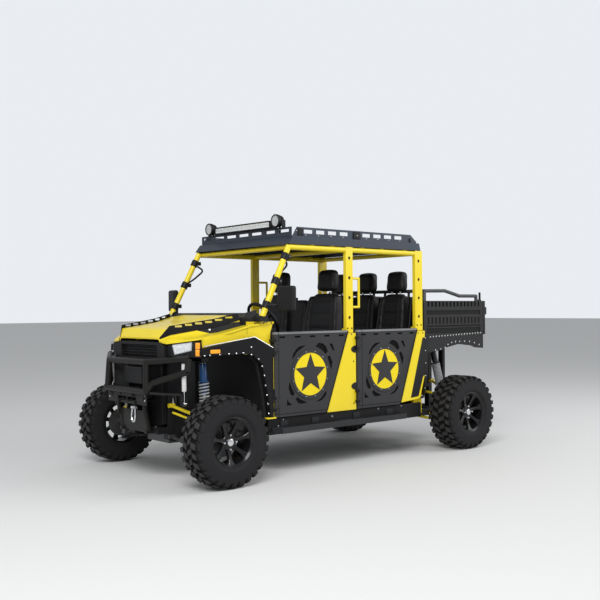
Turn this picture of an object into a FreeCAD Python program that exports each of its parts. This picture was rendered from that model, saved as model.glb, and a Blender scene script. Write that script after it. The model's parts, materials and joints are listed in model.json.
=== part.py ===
"""Crew side by side utility vehicle: five seats, half doors, open cage, tipping cargo bed.

Millimetres. +X points forwards, +Y to the left, +Z up, and the ground is Z = 0. Every piece is
laid out from the front axle (X = 0) and moved at export, so that the origin lies on the ground
under the middle of the overall length.
"""
import FreeCAD, Part
import math
import os

V = FreeCAD.Vector

# wheels and axles
wheelbase = 2830
tyre_radius = 356
tyre_width_front = 235
tyre_width_rear = 275
wheel_face_y = 957
rim_radius = 178
rim_lip = 16
rim_wall = 7
rim_dish = 50
lip_inset = 12
bead_inset = 28
spoke_count = 7
lug_count = 28
lug_height = 18
hub_radius = 42
hub_depth = 34
kingpin_inset = 219
kingpin_radius = 30
upright_clearance = 78
disc_clearance = 53

# stations along the vehicle, from the front axle
bumper_front_x = 410
fascia_front_x = 270
hood_rear_x = -358
cowl_rear_x = -600
door_front_x = -578
roof_front_x = -751
front_bay_share = 0.48
b_pillar_depth = 105
c_pillar_depth = 115
b_pillar_plate = 82
c_pillar_plate = 100
c_pillar_lead = 520
bed_lead = 390
bed_length = 905
latch_reach = 28

# heights
frame_bottom_z = 262
frame_depth = 70
floor_thickness = 30
door_bottom_z = 476
door_top_z = 1160
cowl_top_z = 1264
seat_box_z = 690
seat_back_height = 820
head_rest_height = 218
head_room = 186
roof_band = 70
rack_height = 78
bed_floor_z = 1090
bed_wall_height = 347
bed_rail_rise = 113

# widths from the middle plane, and how far pieces stand proud of the cab's side
cab_half = 700
door_proud = 22
door_thickness = 30
flare_proud = 42
roof_overhang = 4
bed_inset = 10
step_proud = 100
step_width = 88
wing_inset = 70
lamp_width = 236
fascia_inset = 300

# walls, tubes and clearances
panel = 30
pillar_width = 60
pillar_face = 36
bed_sheet = 20
bed_wall = 32
pillar_foot = 35
sheet = 6
cage_tube = 25
frame_half = 260
rail_width = 60
tower_spread = 150
arm_radius = 13
brace_radius = 11
bush_radius = 18
brace_share = 0.62
door_gap = 6
moving_gap = 6
seat_gap = 0.3
hinge_radius = 11

# patterns cut into doors, bed walls, pillars and racks
disc_radius = 180
disc_height = 3
ring_width = 30
star_radius = 174
star_waist = 77
cut_depth = 8
door_slot = (62, 15)
bed_slot_count = 15
bed_slot_width = 24
pillar_hole_radius = 15
pillar_hole_pitch = 176
rack_slot = (97, 139)
front_rack_slot = (136, 190)

# hood and its rails, seats and steering
hood_edge = 20
rail_rise = (2, 28, 38, 34)
rail_drop = (9, 44, 26, 22)
rail_sheet = 5
rail_gap = 2.2
rail_slot = (58, 84)
console_half = 105
seat_side_gap = 15
column_end_x = -735
column_end_z = 1262
column_axis = (-0.82, 0, 0.572)
ring_radius = 165
hinge_heights = (1060, 590)
mirror_toe = 13

frame_top_z = frame_bottom_z + frame_depth
horn_z = (frame_top_z + 44, frame_top_z + 96)
floor_top_z = frame_top_z + floor_thickness
c_pillar_x = c_pillar_lead - wheelbase
b_pillar_x = door_front_x - front_bay_share * (door_front_x - c_pillar_x)
rear_door_x = b_pillar_x - b_pillar_depth - 4
bed_front_x = bed_lead - wheelbase
bed_rear_x = bed_front_x - bed_length
rear_reach = bed_rear_x - moving_gap - panel - latch_reach
origin_shift = -(bumper_front_x + rear_reach) / 2
bulkhead_x = c_pillar_x - 80
frame_rear_x = bed_rear_x + 60
receiver_z = frame_bottom_z + frame_depth / 2
front_rest_x = b_pillar_x - 110
rear_rest_x = c_pillar_x - 62
roof_bottom_z = seat_box_z + seat_back_height + head_rest_height + head_room
bed_side_top_z = bed_floor_z + bed_wall_height
bed_rail_top_z = bed_side_top_z + bed_rail_rise
bed_rest_z = bed_floor_z - bed_sheet - seat_gap
door_outer_y = cab_half + door_proud
flare_outer_y = cab_half + flare_proud
roof_half = cab_half + roof_overhang
bed_half = cab_half - bed_inset
step_y = cab_half + step_proud
cab_inner = cab_half - pillar_width
steering_y = cab_inner / 2 + 25
fascia_half = cab_half - fascia_inset
column_end = (column_end_x, steering_y, column_end_z)
kingpin_y = wheel_face_y - kingpin_inset
upright_half = rim_radius - upright_clearance
arm_root_y = frame_half + rail_width / 2 + seat_gap + bush_radius
upper_arm_z = 590
tower_top_z = 992
shock_foot_y = arm_root_y + (kingpin_y - 12 - arm_root_y) * brace_share
front_shock = (shock_foot_y, 535, tower_top_z - 42)
rear_shock = (shock_foot_y, 525, bed_rest_z - 85)
engine_front_x = 370 - wheelbase
engine_length = 270
engine_top_z = bed_floor_z - 210
rear_shock_lean = 90
receiver_length = 110
receiver_half = 34
hitch_half = 25.6
hitch_pin_radius = 8
hitch_pin_setback = 45
hinge_lug_radius = 20
hinge_lug_half = 12
hood_hinge_x = hood_rear_x - 2
hood_hinge_z = cowl_top_z + 16
hood_hinge_places = (-250, 250)
hinge_y = door_outer_y + hinge_radius + 1
mirror_z = cowl_top_z + 136
bed_hinge_x = bed_rear_x + 150
bed_hinge_z = bed_floor_z - 60
gate_hinge_x = bed_rear_x - moving_gap - panel + 2
gate_hinge_z = bed_floor_z - 8
gate_hinge_y = bed_half - 170


def block(x, y, z):
    """Box between low and high pairs, in any order."""
    low = V(min(x), min(y), min(z))
    return Part.makeBox(abs(x[1] - x[0]), abs(y[1] - y[0]), abs(z[1] - z[0]), low)


def rod(start, end, radius):
    """Round bar from one point to another."""
    start, end = V(*start), V(*end)
    return Part.makeCylinder(radius, (end - start).Length, start, end - start)


def ball(centre, radius):
    return Part.makeSphere(radius, V(*centre))


def bent_bar(points, radius):
    """Round bar through the points, with a ball at each bend."""
    pieces = [rod(a, b, radius) for a, b in zip(points, points[1:])]
    pieces += [ball(p, radius) for p in points[1:-1]]
    return join(pieces)


def join(pieces):
    if len(pieces) == 1:
        return pieces[0]
    return pieces[0].fuse(pieces[1:]).removeSplitter()


def side_plate(points, y):
    """Outline in the XZ plane carried across the width from y[0] to y[1]."""
    corners = [V(px, min(y), pz) for px, pz in points]
    face = Part.Face(Part.makePolygon(corners + corners[:1]))
    return face.extrude(V(0, abs(y[1] - y[0]), 0))


def front_plate(points, x):
    """Outline in the YZ plane carried along the length from x[0] to x[1]."""
    corners = [V(min(x), py, pz) for py, pz in points]
    face = Part.Face(Part.makePolygon(corners + corners[:1]))
    return face.extrude(V(abs(x[1] - x[0]), 0, 0))


def far(shape):
    """The same piece on the right side."""
    return shape.mirror(V(0, 0, 0), V(0, 1, 0))


def both(shape):
    return [shape, far(shape)]


def save(name, pieces):
    """Write one sub-part, moved to the part's origin."""
    solids = [s for piece in pieces for s in piece.Solids]
    group = Part.makeCompound(solids)
    group.translate(V(origin_shift, 0, 0))
    group.exportStep("parts/" + name + ".step")
    volume = sum(s.Volume for s in solids) / 1e9
    print(name, len(solids), "solids", round(volume, 5), "m3", group.isValid())


def tyre(width):
    """Tyre about the Y axis, outer face at Y = 0: rings of flat facets, three to a lug."""
    half = width / 2
    lug_side = 34
    sidewall = rim_radius + 70
    crown = tyre_radius - 4
    shoulder = tyre_radius - 42
    # columns: place across the width, radius on a lug, radius in a groove
    section = [
        (-half + bead_inset, rim_radius, rim_radius),
        (-half, sidewall, sidewall),
        (-half + 4, shoulder, shoulder - 16),
        (-half + lug_side, crown, crown - lug_height),
        (half - lug_side, crown, crown - lug_height),
        (half - 4, shoulder, shoulder - 16),
        (half, sidewall, sidewall),
        (half - bead_inset, rim_radius, rim_radius),
    ]
    share = (0.0, 0.55, 0.775)
    rings = []
    for lug in range(lug_count):
        for corner in range(3):
            turn = 2 * math.pi * (lug + share[corner]) / lug_count
            ring = []
            for place, (y, high, low) in enumerate(section):
                lag = math.pi / lug_count if 0 < place < 4 else 0
                radius = low if corner == 2 else high
                angle = turn + lag
                ring.append(V(radius * math.cos(angle), y - half, radius * math.sin(angle)))
            rings.append(ring)
    faces = []
    for index, ring in enumerate(rings):
        following = rings[(index + 1) % len(rings)]
        for place in range(len(section)):
            other = (place + 1) % len(section)
            a, b = ring[place], ring[other]
            c, d = following[other], following[place]
            faces.append(Part.Face(Part.makePolygon([a, b, c, a])))
            faces.append(Part.Face(Part.makePolygon([a, c, d, a])))
    shell = Part.makeShell(faces)
    shell.sewShape()
    solid = Part.makeSolid(shell)
    if solid.Volume < 0:
        solid.reverse()
    return solid


def turned(profile):
    """Solid turned about the Y axis from (y, radius) points."""
    corners = [V(0, y, r) for y, r in profile]
    face = Part.Face(Part.makePolygon(corners + corners[:1]))
    return face.revolve(V(0, 0, 0), V(0, 1, 0), 360)


def rim(width):
    """Rim about the Y axis, tyre's outer face at Y = 0: barrel, lips, spoked disc and hub."""
    barrel_radius = rim_radius * math.cos(math.pi / lug_count / 2) - seat_gap
    inner_radius = barrel_radius - rim_wall
    lip_radius = rim_radius + rim_lip
    outer_lip = -lip_inset
    inner_lip = -width + lip_inset
    barrel = turned([
        (outer_lip, inner_radius), (outer_lip, lip_radius), (outer_lip - 8, lip_radius),
        (-bead_inset + seat_gap, barrel_radius), (-width + bead_inset - seat_gap, barrel_radius),
        (inner_lip + 8, lip_radius), (inner_lip, lip_radius), (inner_lip, inner_radius),
    ])
    hub_face = outer_lip - rim_dish
    hub_back = hub_face - hub_depth
    disc = turned([
        (outer_lip - 18, inner_radius + 2), (hub_face, hub_radius + 30), (hub_face, 0),
        (hub_back, 0), (hub_back, hub_radius + 34), (outer_lip - 44, inner_radius + 2),
    ])
    gap = spoke_gap(hub_radius + 38, inner_radius - 12)
    for k in range(spoke_count):
        cut = gap.copy()
        cut.rotate(V(0, 0, 0), V(0, 1, 0), 360 * k / spoke_count)
        disc = disc.cut(cut)
    cap = rod((0, hub_face - 1, 0), (0, hub_face + 14, 0), hub_radius)
    return join([barrel, disc, cap])


def spoke_gap(inner, outer):
    """Cutter for the opening between two spokes, above the axle."""
    pitch = 2 * math.pi / spoke_count
    low = inner * math.tan(pitch * 0.26)
    high = outer * math.tan(pitch * 0.34)
    top = outer * 0.96
    return side_plate([(-low, inner), (low, inner), (high, top), (-high, top)], (-300, 20))


def wheels():
    axles = {"front": (0, tyre_width_front), "rear": (-wheelbase, tyre_width_rear)}
    for axle, (x, width) in axles.items():
        tyre_shape, rim_shape = tyre(width), rim(width)
        place = V(x, wheel_face_y, tyre_radius)
        tyre_shape.translate(place)
        rim_shape.translate(place)
        save("tyre_" + axle + "_left", [tyre_shape])
        save("rim_" + axle + "_left", [rim_shape])
        save("tyre_" + axle + "_right", [far(tyre_shape)])
        save("rim_" + axle + "_right", [far(rim_shape)])


def knuckle(x):
    """Upright about a vertical pin, spindle out to the wheel, brake disc and caliper."""
    z = tyre_radius
    hub_back = wheel_face_y - lip_inset - rim_dish - hub_depth - seat_gap
    brake_radius = rim_radius - disc_clearance
    upright = rod((x, kingpin_y, z - upright_half), (x, kingpin_y, z + upright_half), kingpin_radius)
    spindle = rod((x, kingpin_y, z), (x, hub_back, z), kingpin_radius + 4)
    disc = rod((x, kingpin_y + 52, z), (x, kingpin_y + 60, z), brake_radius)
    caliper = block((x - 60, x - 20), (kingpin_y + 34, kingpin_y + 78),
                    (z + brake_radius - 55, z + brake_radius + 10))
    return join([upright, spindle, disc, caliper])


def knuckles():
    front = knuckle(0)
    rod_z = tyre_radius - upright_half / 2
    arm = rod((0, kingpin_y, rod_z), (-105, kingpin_y - 18, rod_z), 13)
    front = join([front, arm])
    save("knuckle_left", [front])
    save("knuckle_right", [far(front)])
    save("rear_knuckles", both(knuckle(-wheelbase)))


def wishbone(x, inner_z, spread, outer_z, lift=0):
    """A-shaped arm: two legs from bushes at the frame to one boss on the upright's axis."""
    boss_height = 44
    side = 1 if outer_z > tyre_radius else -1
    boss = rod((x, kingpin_y, outer_z), (x, kingpin_y, outer_z + side * boss_height), kingpin_radius * 0.8)
    tip = (x, kingpin_y - 12, outer_z + side * boss_height / 2)
    pieces = [boss]
    for end in (1, -1):
        root_x = x + end * spread
        root_z = inner_z - end * lift
        pieces.append(rod((root_x, arm_root_y, root_z), tip, arm_radius))
        bush = [(root_x + reach, arm_root_y, root_z) for reach in (-25, 25)]
        pieces.append(rod(bush[0], bush[1], bush_radius))
    y = arm_root_y + (tip[1] - arm_root_y) * brace_share
    z = inner_z + (tip[2] - inner_z) * brace_share
    reach = spread * (1 - brace_share)
    fall = lift * (1 - brace_share)
    pieces.append(rod((x + reach, y, z - fall), (x - reach, y, z + fall), brace_radius))
    return join(pieces)


def suspension():
    top = tyre_radius + upright_half + seat_gap
    bottom = tyre_radius - upright_half - seat_gap
    # columns: node, axle, fall of the upper arm's front root below its middle, rise of the lower arm's
    for name, x, fall, rise in (("front_arms", 0, -10, 30), ("rear_arms", -wheelbase, 30, 0)):
        upper = wishbone(x, upper_arm_z, tower_spread, top, fall)
        lower = wishbone(x, frame_bottom_z + 30 + rise, tower_spread, bottom, -rise)
        save(name, both(upper) + both(lower))
    shafts = []
    for x in (0, -wheelbase):
        z = tyre_radius
        shaft = rod((x, frame_half - 90, z), (x, kingpin_y - kingpin_radius - seat_gap, z), 15)
        boot = rod((x, kingpin_y - 110, z), (x, kingpin_y - 50, z), 38)
        case = block((x - 90, x + 90), (0, frame_half - 89), (z - 80, z + 80))
        shafts.append(join([shaft, boot, case]))
    save("half_shafts", [join([s, far(s)]) for s in shafts])
    coils = []
    brace_z = upper_arm_z + (top + 22 - upper_arm_z) * brace_share
    foot_z = brace_z + brace_radius + 3.4
    for x, ends, lean in ((0, front_shock, 0), (-wheelbase, rear_shock, rear_shock_lean)):
        foot_y, head_y, head_z = ends
        coils += both(shock((x, foot_y, foot_z), (x + lean, head_y, head_z)))
    save("shocks", coils)


def shock(foot, head):
    """Coil-over damper: eye, spring and upper body, as stacked cylinders."""
    foot, head = V(*foot), V(*head)
    run = head - foot
    at = [foot + run * share for share in (0.0, 0.16, 0.62, 1.0)]
    radii = (14, 44, 30)
    return join([rod(tuple(at[k]), tuple(at[k + 1] + run * 0.002), radii[k]) for k in range(3)])


def frame():
    """Ladder frame with raised front horns, suspension towers, bed hinge ears and hitch receiver."""
    z = (frame_bottom_z, frame_top_z)
    y = (frame_half - rail_width / 2, frame_half + rail_width / 2)
    between = (-frame_half, frame_half)
    tower_front = tower_spread + 25
    pieces = both(block((tower_front, frame_rear_x), y, z))
    pieces += both(block((fascia_front_x, tower_front - 1), y, horn_z))
    pieces.append(block((fascia_front_x, fascia_front_x - 60), between, horn_z))
    crossings = (-250, door_front_x - 60, b_pillar_x, c_pillar_x, engine_front_x - 150, frame_rear_x)
    for x in crossings:
        pieces.append(block((x, x + 60), between, z))
    rows = [(0, tower_top_z, front_shock, 0), (-wheelbase, bed_rest_z, rear_shock, rear_shock_lean)]
    for axle_x, top, shock_head, lean in rows:
        for end in (1, -1):
            x = (axle_x + end * tower_spread - 25, axle_x + end * tower_spread + 25)
            pieces += both(block(x, y, (frame_top_z - 1, top)))
            pieces.append(block(x, between, (top - 50, top)))
        head_y, head_z = shock_head[1:]
        head_x = (axle_x + lean - 35, axle_x + lean + 35)
        mount_z = (head_z + 5.4 + lean / 20, head_z + 38)
        pieces += both(block(head_x, (y[0], head_y + 35), mount_z))
        ends = (axle_x - tower_spread, axle_x + tower_spread)
        pieces += both(block(ends, y, (top - 50, top)))
        pieces += both(block(ends, y, (upper_arm_z - 30, upper_arm_z + 10)))
    ear_base = bed_hinge_z - hinge_lug_radius - moving_gap
    x = (bed_hinge_x - hinge_lug_radius, bed_hinge_x + hinge_lug_radius)
    pieces += both(block(x, y, (frame_top_z - 1, ear_base)))
    pieces.append(block(x, between, (ear_base - 50, ear_base)))
    for side in (1, -1):
        for low in (hinge_lug_half + seat_gap, -2 * hinge_lug_half - seat_gap):
            ear_y = (side * frame_half + low, side * frame_half + low + hinge_lug_half)
            pin = [(bed_hinge_x, ear_y[end], bed_hinge_z) for end in (0, 1)]
            pieces.append(rod(pin[0], pin[1], hinge_lug_radius))
            pieces.append(block(x, ear_y, (ear_base - 1, bed_hinge_z)))
    reach = frame_half + rail_width
    nose = side_plate([(tower_front + 1, z[0] - 1), (tower_front + 1, z[1] - 4),
                       (tower_front - 240, z[0] - 1)], (-reach, reach))
    save("frame_rails", [join(pieces).cut(nose)])
    mouth_x = frame_rear_x - receiver_length
    outer = block((frame_rear_x - seat_gap, mouth_x), (-receiver_half, receiver_half), z)
    bore = block((frame_rear_x - 20, mouth_x - 1), (-hitch_half, hitch_half),
                 (receiver_z - hitch_half, receiver_z + hitch_half))
    pin_x = mouth_x + hitch_pin_setback
    pin_ends = [(pin_x, y, receiver_z) for y in (-2 * receiver_half, 2 * receiver_half)]
    pin = rod(pin_ends[0], pin_ends[1], hitch_pin_radius)
    save("hitch_receiver", [outer.cut(bore).cut(pin)])
    engine_x = (engine_front_x, engine_front_x - engine_length)
    engine_half = frame_half - 60
    engine_z = (frame_top_z + seat_gap, engine_top_z)
    save("engine_block", [block(engine_x, (-engine_half, engine_half), engine_z)])
    core_x = (fascia_front_x - 88, fascia_front_x - 48)
    core_half = frame_half + rail_width / 2
    save("radiator", [block(core_x, (-core_half, core_half), (horn_z[1] + seat_gap, tower_top_z - 44))])
    liner_x = (core_x[0] + 4, core_x[0] + 10)
    liner_y = (core_half + seat_gap, fascia_half + lamp_width - 46)
    save("front_liners", both(block(liner_x, liner_y, (700, tower_top_z - 44))))


def floor_tub():
    """Floor, rockers, firewall, rear bulkhead and seat boxes of the hollow cab."""
    rear = bulkhead_x
    inner = cab_inner - seat_gap
    box_half = inner - 60
    firewall_x = door_front_x + 40
    z_floor = (frame_top_z + seat_gap, floor_top_z)
    z_box = (floor_top_z - 1, seat_box_z)
    floor = block((firewall_x, rear), (-inner, inner), z_floor)
    sill = block((firewall_x, rear), (inner - 1, cab_half - 10), z_floor)
    rocker = block((firewall_x, rear), (cab_half - 34, cab_half - 10), (z_floor[0], door_bottom_z - 8))
    firewall = block((firewall_x, firewall_x + panel), (-inner, inner), (z_floor[0], cowl_top_z - 279))
    bulkhead = block((rear, rear - 24), (-inner, inner), (z_floor[0], door_top_z))
    front_box = block((front_rest_x + 640, front_rest_x + 120), (-box_half, box_half), z_box)
    rear_box = block((rear_rest_x + 620, rear + 1), (-box_half, box_half), z_box)
    save("floor_tub", [join([floor, firewall, bulkhead, front_box, rear_box] + both(sill) + both(rocker))])


def cage():
    """Round front hoop and roof tubes, flat-faced centre and rear pillars."""
    top_z = roof_bottom_z - cage_tube - seat_gap
    top_y = cab_half - cage_tube
    head = (roof_front_x - 20, top_y, top_z)
    foot = (cowl_rear_x + 130, top_y + 24, cowl_top_z + 40)
    a_post = bent_bar([foot, head, (c_pillar_x - 60, top_y, top_z)], cage_tube)
    plate_z = (cowl_top_z + seat_gap, foot[2] + 4)
    foot_plate = block((foot[0] - 45, foot[0] + 45), (top_y - 15, top_y + 50), plate_z)
    posts = []
    holes = []
    above = (door_top_z - 6, roof_bottom_z - seat_gap)
    below = (floor_top_z + seat_gap, door_top_z + 30)
    rows = [(b_pillar_x, b_pillar_depth, b_pillar_plate), (c_pillar_x, c_pillar_depth, c_pillar_plate)]
    for x, depth, plate in rows:
        posts.append(block((x, x - plate), (cab_half - pillar_face, cab_half), above))
        posts.append(block((x, x - depth), (cab_inner, cab_half - pillar_foot), below))
        for k in range(4):
            ends = [(x - plate / 2, y, roof_bottom_z - 99 - k * pillar_hole_pitch)
                    for y in (cab_half - cut_depth, cab_half + 1)]
            holes.append(rod(ends[0], ends[1], pillar_hole_radius))
    side = join([a_post, foot_plate] + posts).cut(Part.makeCompound(holes))
    save("cage_left", [side])
    save("cage_right", [far(side)])
    reach = cab_half - 2 * cage_tube - seat_gap
    tubes = []
    for x in (head[0] - 30, b_pillar_x - b_pillar_plate / 2, c_pillar_x - c_pillar_plate / 2):
        tubes.append(rod((x, -reach, top_z), (x, reach, top_z), cage_tube * 0.85))
    save("cage_cross", tubes)


def roof():
    """Folded sheet roof pan with slotted rack rails round it and a bar of lamps in front."""
    front, rear = roof_front_x, c_pillar_x - 76
    slope = 53
    top = roof_bottom_z + roof_band
    outer = side_plate([(front, roof_bottom_z), (front - slope, top), (rear + 20, top),
                        (rear, roof_bottom_z)], (-roof_half, roof_half))
    inner = side_plate([(front - 8, roof_bottom_z - 1), (front - slope - 4, top - sheet),
                        (rear + 24, top - sheet), (rear + 8, roof_bottom_z - 1)],
                       (-roof_half + sheet, roof_half - sheet))
    save("roof_pan", [outer.cut(inner)])
    base = top + seat_gap
    rack_top = base + rack_height
    rack_front = front - slope
    rail = side_plate([(rack_front - 10, base), (rack_front - 60, rack_top), (rear + 115, rack_top),
                       (rear + 34, base + 16), (rear + 34, base)], (roof_half - 30, roof_half - 24))
    slot_z = (base + 26, rack_top - 20)
    slot_length, slot_pitch = rack_slot
    for k in (0, 1, 2, 3, 5, 6, 7, 8):
        x = rack_front - 137 - k * slot_pitch
        rail = rail.cut(block((x, x - slot_length), (roof_half - 60, roof_half), slot_z))
    rail_half = roof_half - 31
    front_rail = block((rack_front - 10, rack_front - 4), (-rail_half, rail_half), (base, rack_top))
    slot_length, slot_pitch = front_rack_slot
    slot_z = (base + 36, rack_top - 18)
    for k in range(-3, 4):
        slot_y = (k * slot_pitch - slot_length / 2, k * slot_pitch + slot_length / 2)
        front_rail = front_rail.cut(block((rack_front - 20, rack_front), slot_y, slot_z))
    save("roof_rails", both(rail) + [front_rail])
    bar_z = rack_top + 36
    bar_half = roof_half - 289
    pod_y = roof_half - 204
    bar = block((rack_front + 29, rack_front - 41), (-bar_half, bar_half), (bar_z - 33, bar_z + 33))
    feet = (rack_front - 14, rack_front - 22)
    legs = [block(feet, (y - 15, y + 15), (base, bar_z)) for y in (115 - bar_half, bar_half - 115)]
    pods = []
    for y in (-pod_y, pod_y):
        pod = rod((rack_front - 46, y, bar_z + 23), (rack_front + 39, y, bar_z + 23), 57)
        pods.append(join([pod, block(feet, (y - 14, y + 14), (base, bar_z))]))
    save("roof_lights", [join([bar] + legs)] + pods)


def skin_loft(rows):
    """Folded sheet along the vehicle: one closed ring of corners for each station."""
    wires = []
    for x, ring in rows:
        corners = [V(x, y, z) for y, z in ring]
        wires.append(Part.makePolygon(corners + corners[:1]))
    return Part.makeLoft(wires, True, True)


# columns: station, half width and height of the crown, of the folded edge, and of the lower edge
hood_rows = [
    (fascia_front_x - 6, 250, 1146, 313, 1143, 330, 1118),
    (212, 270, 1216, 386, 1212, 400, 1145),
    (-150, 300, cowl_top_z + 6, 470, cowl_top_z - 12, 505, cowl_top_z - 84),
    (hood_rear_x, 320, cowl_top_z + 54, 530, cowl_top_z + 36, 560, cowl_top_z - 32),
]


def hood_edge_z(x):
    """Height of the hood's folded edge at a station behind the nose."""
    ends = [row for row in hood_rows[1:] if row[0] >= x][-1], [row for row in hood_rows if row[0] < x][0]
    (front_x, front_z), (rear_x, rear_z) = [(row[0], row[4]) for row in ends]
    return front_z + (rear_z - front_z) * (front_x - x) / (front_x - rear_x)


def hood():
    """Raised lid between the fenders with a slotted rail along each folded edge."""
    lid_rows, rail_rows = [], []
    for row, rise, drop in zip(hood_rows, rail_rise, rail_drop):
        x, crown_y, crown_z, edge_y, edge_z, low_y, low_z = row
        above = [(low_y, low_z), (edge_y, edge_z), (crown_y, crown_z)]
        above += [(-y, z) for y, z in reversed(above)]
        below = [(low_y - 12, low_z), (edge_y - 14, edge_z - hood_edge), (crown_y, crown_z - hood_edge)]
        below += [(-y, z) for y, z in reversed(below)]
        lid_rows.append((x, above + below[::-1]))
        inner = edge_y + rail_gap
        lean = (edge_y - low_y) / (edge_z - low_z)
        ends = [(inner + lean * offset, edge_z + offset) for offset in (-drop, rise)]
        rail_rows.append((x, ends + [(y + rail_sheet, z) for y, z in reversed(ends)]))
    barrels = []
    for y in hood_hinge_places:
        ends = [(hood_hinge_x, y + off, hood_hinge_z) for off in (-30, 30)]
        barrels.append(rod(ends[0], ends[1], hinge_radius))
        barrels.append(block((hood_hinge_x + 2, hood_hinge_x + 10), (y - 30, y + 30),
                             (hood_hinge_z, hood_hinge_z + 20)))
    save("hood", [join([skin_loft(lid_rows)] + barrels)])
    rail = skin_loft(rail_rows)
    slot_length, slot_pitch = rail_slot
    for k in range(6):
        x = hood_rows[1][0] - 42 - slot_pitch * k
        z = hood_edge_z(x - slot_length / 2) + rail_rise[1] + k
        rail = rail.cut(block((x, x - slot_length), (0, cab_half), (z - 20, z - 4)))
    save("hood_rails", both(rail))


def front_cowl():
    """Painted fender tops and side panels with the black windscreen cowl between them."""
    gap = 12
    side_y = cab_half - 10
    hood_low = [(x, low_y + gap, low_z + 2) for x, _, _, _, _, low_y, low_z in hood_rows]
    mid_x = 90
    share = (hood_rows[1][0] - mid_x) / (hood_rows[1][0] - hood_rows[2][0])
    middle = (mid_x, hood_low[1][1] + share * (hood_low[2][1] - hood_low[1][1]),
              hood_low[1][2] + share * (hood_low[2][2] - hood_low[1][2]))
    rearmost = (cowl_rear_x, cab_half - 100, cowl_top_z)
    inner = [hood_low[0], hood_low[1], middle, hood_low[2], hood_low[3], rearmost]
    # columns: how far the outer edge reaches from the hood towards the cab's side, and its height
    outer = [(0.224, 1112), (0.317, 1122), (0.8, 1146),
             (1, cowl_top_z - 74), (1, cowl_top_z - 24), (1, cowl_top_z)]
    rows = []
    for (x, y, z), (reach, outer_z) in zip(inner, outer):
        outer_y = y + reach * (side_y - y)
        rows.append((x, [(y, z), (outer_y, outer_z), (outer_y, outer_z - 16), (y, z - 16)]))
    shelf = skin_loft(rows)
    arch_x = door_front_x + 92
    side = [(mid_x, 1140), (-150, cowl_top_z - 80), (hood_rear_x, cowl_top_z - 30),
            (cowl_rear_x, cowl_top_z - 6), (door_front_x + door_gap + 2, door_top_z + 12),
            (door_front_x + door_gap, door_bottom_z), (arch_x - 19, door_bottom_z), (arch_x, 690),
            (arch_x + 61, 935), (arch_x + 161, 1022), (mid_x - 12, 1024)]
    panel_left = side_plate(side, (cab_half - 50, cab_half - 20))
    back = hood_hinge_x - 42
    crest_x = cowl_rear_x + 130
    low_z = cowl_top_z - 28
    sill_x = cowl_rear_x + 60
    top = side_plate([(back, low_z), (back, cowl_top_z + 38), (crest_x, cowl_top_z + 74),
                      (sill_x, cowl_top_z + 6), (sill_x, low_z)], (60 - cab_half, cab_half - 60))
    ears = []
    for y in hood_hinge_places:
        for end in (1, -1):
            near, off = y + end * (30 + seat_gap), y + end * 50
            x, z = hood_hinge_x, hood_hinge_z
            ears.append(rod((x, near, z), (x, off, z), hinge_radius))
            ears.append(block((back - 1, x), (near, off), (z - 9, z + 9)))
    # columns: station, outer face, lowest and highest edge of the rail that carries on the hood's
    rail = skin_loft([(x, [(y, low), (y, high), (y - rail_sheet, high), (y - rail_sheet, low)])
                      for x, y, low, high in ((back, 562, 1282, 1338), (crest_x - 20, 600, 1290, 1362))])
    save("front_cowl", [join(both(shelf) + both(panel_left) + both(rail) + [top] + ears)])


def dashboard():
    """Instrument panel under the windscreen with the steering column."""
    front = hood_rear_x - 110
    half = cab_half - 140
    top_z = cowl_top_z - 28 - seat_gap
    body = side_plate([(front, top_z), (cowl_rear_x - 40, top_z), (cowl_rear_x - 110, top_z - 36),
                       (cowl_rear_x - 90, top_z - 176), (front, top_z - 236)], (-half, half))
    axis = V(*column_axis)
    start = V(*column_end) - axis * 160
    save("dashboard", [join([body, rod(tuple(start), column_end, 24)])])


def fascia():
    """Nose panel with barred grille, and a lamp housing on both sides."""
    front = fascia_front_x
    back = front - 40
    low_z = tower_top_z - 32
    shoulder_z = low_z + 116
    top_z = low_z + 150
    slope_y = fascia_half - 78
    outline = [(-fascia_half, low_z), (fascia_half, low_z), (fascia_half, shoulder_z), (slope_y, top_z),
               (-slope_y, top_z), (-fascia_half, shoulder_z)]
    mouth_half = fascia_half - 110
    mouth_z = (low_z + 25, low_z + 125)
    opening = block((back - 1, front + 1), (-mouth_half, mouth_half), mouth_z)
    bars = []
    for z in (low_z + 43, low_z + 67, low_z + 91, low_z + 111):
        bars.append(block((back + 8, back + 20), (-mouth_half - 1, mouth_half + 1), (z, z + 8)))
    for k in range(-5, 6):
        y = k * (mouth_half + 10) / 6
        bars.append(block((back + 2, back + 10), (y - 4, y + 4), (mouth_z[0] - 1, mouth_z[1] + 1)))
    frame_y = (frame_half - rail_width / 2, frame_half + rail_width / 2)
    stay = block((back + 1, tower_spread + 25 + seat_gap), frame_y, (low_z, low_z + 24))
    save("front_fascia", [join([front_plate(outline, (back, front)).cut(opening)] + bars + both(stay))])
    lamp_front = front - 25
    lamp_rear = front - 200
    outer_y = fascia_half + lamp_width
    profile = [(lamp_front, low_z + 40), (lamp_front, low_z + 130), (lamp_rear + 40, top_z + 6),
               (lamp_rear, top_z + 6), (lamp_rear, low_z + 30)]
    lamp = side_plate(profile, (fascia_half + seat_gap, outer_y))
    clear_y = outer_y + 64
    plan = [(lamp_front + 5, fascia_half + 70), (lamp_rear - 10, outer_y + 24), (lamp_rear - 10, clear_y),
            (front + 30, clear_y)]
    corners = [V(x, y, low_z) for x, y in plan]
    corner = Part.Face(Part.makePolygon(corners + corners[:1]))
    lamp = lamp.cut(corner.extrude(V(0, 0, 2 * (top_z - low_z))))
    save("headlamps", both(lamp))


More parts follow.
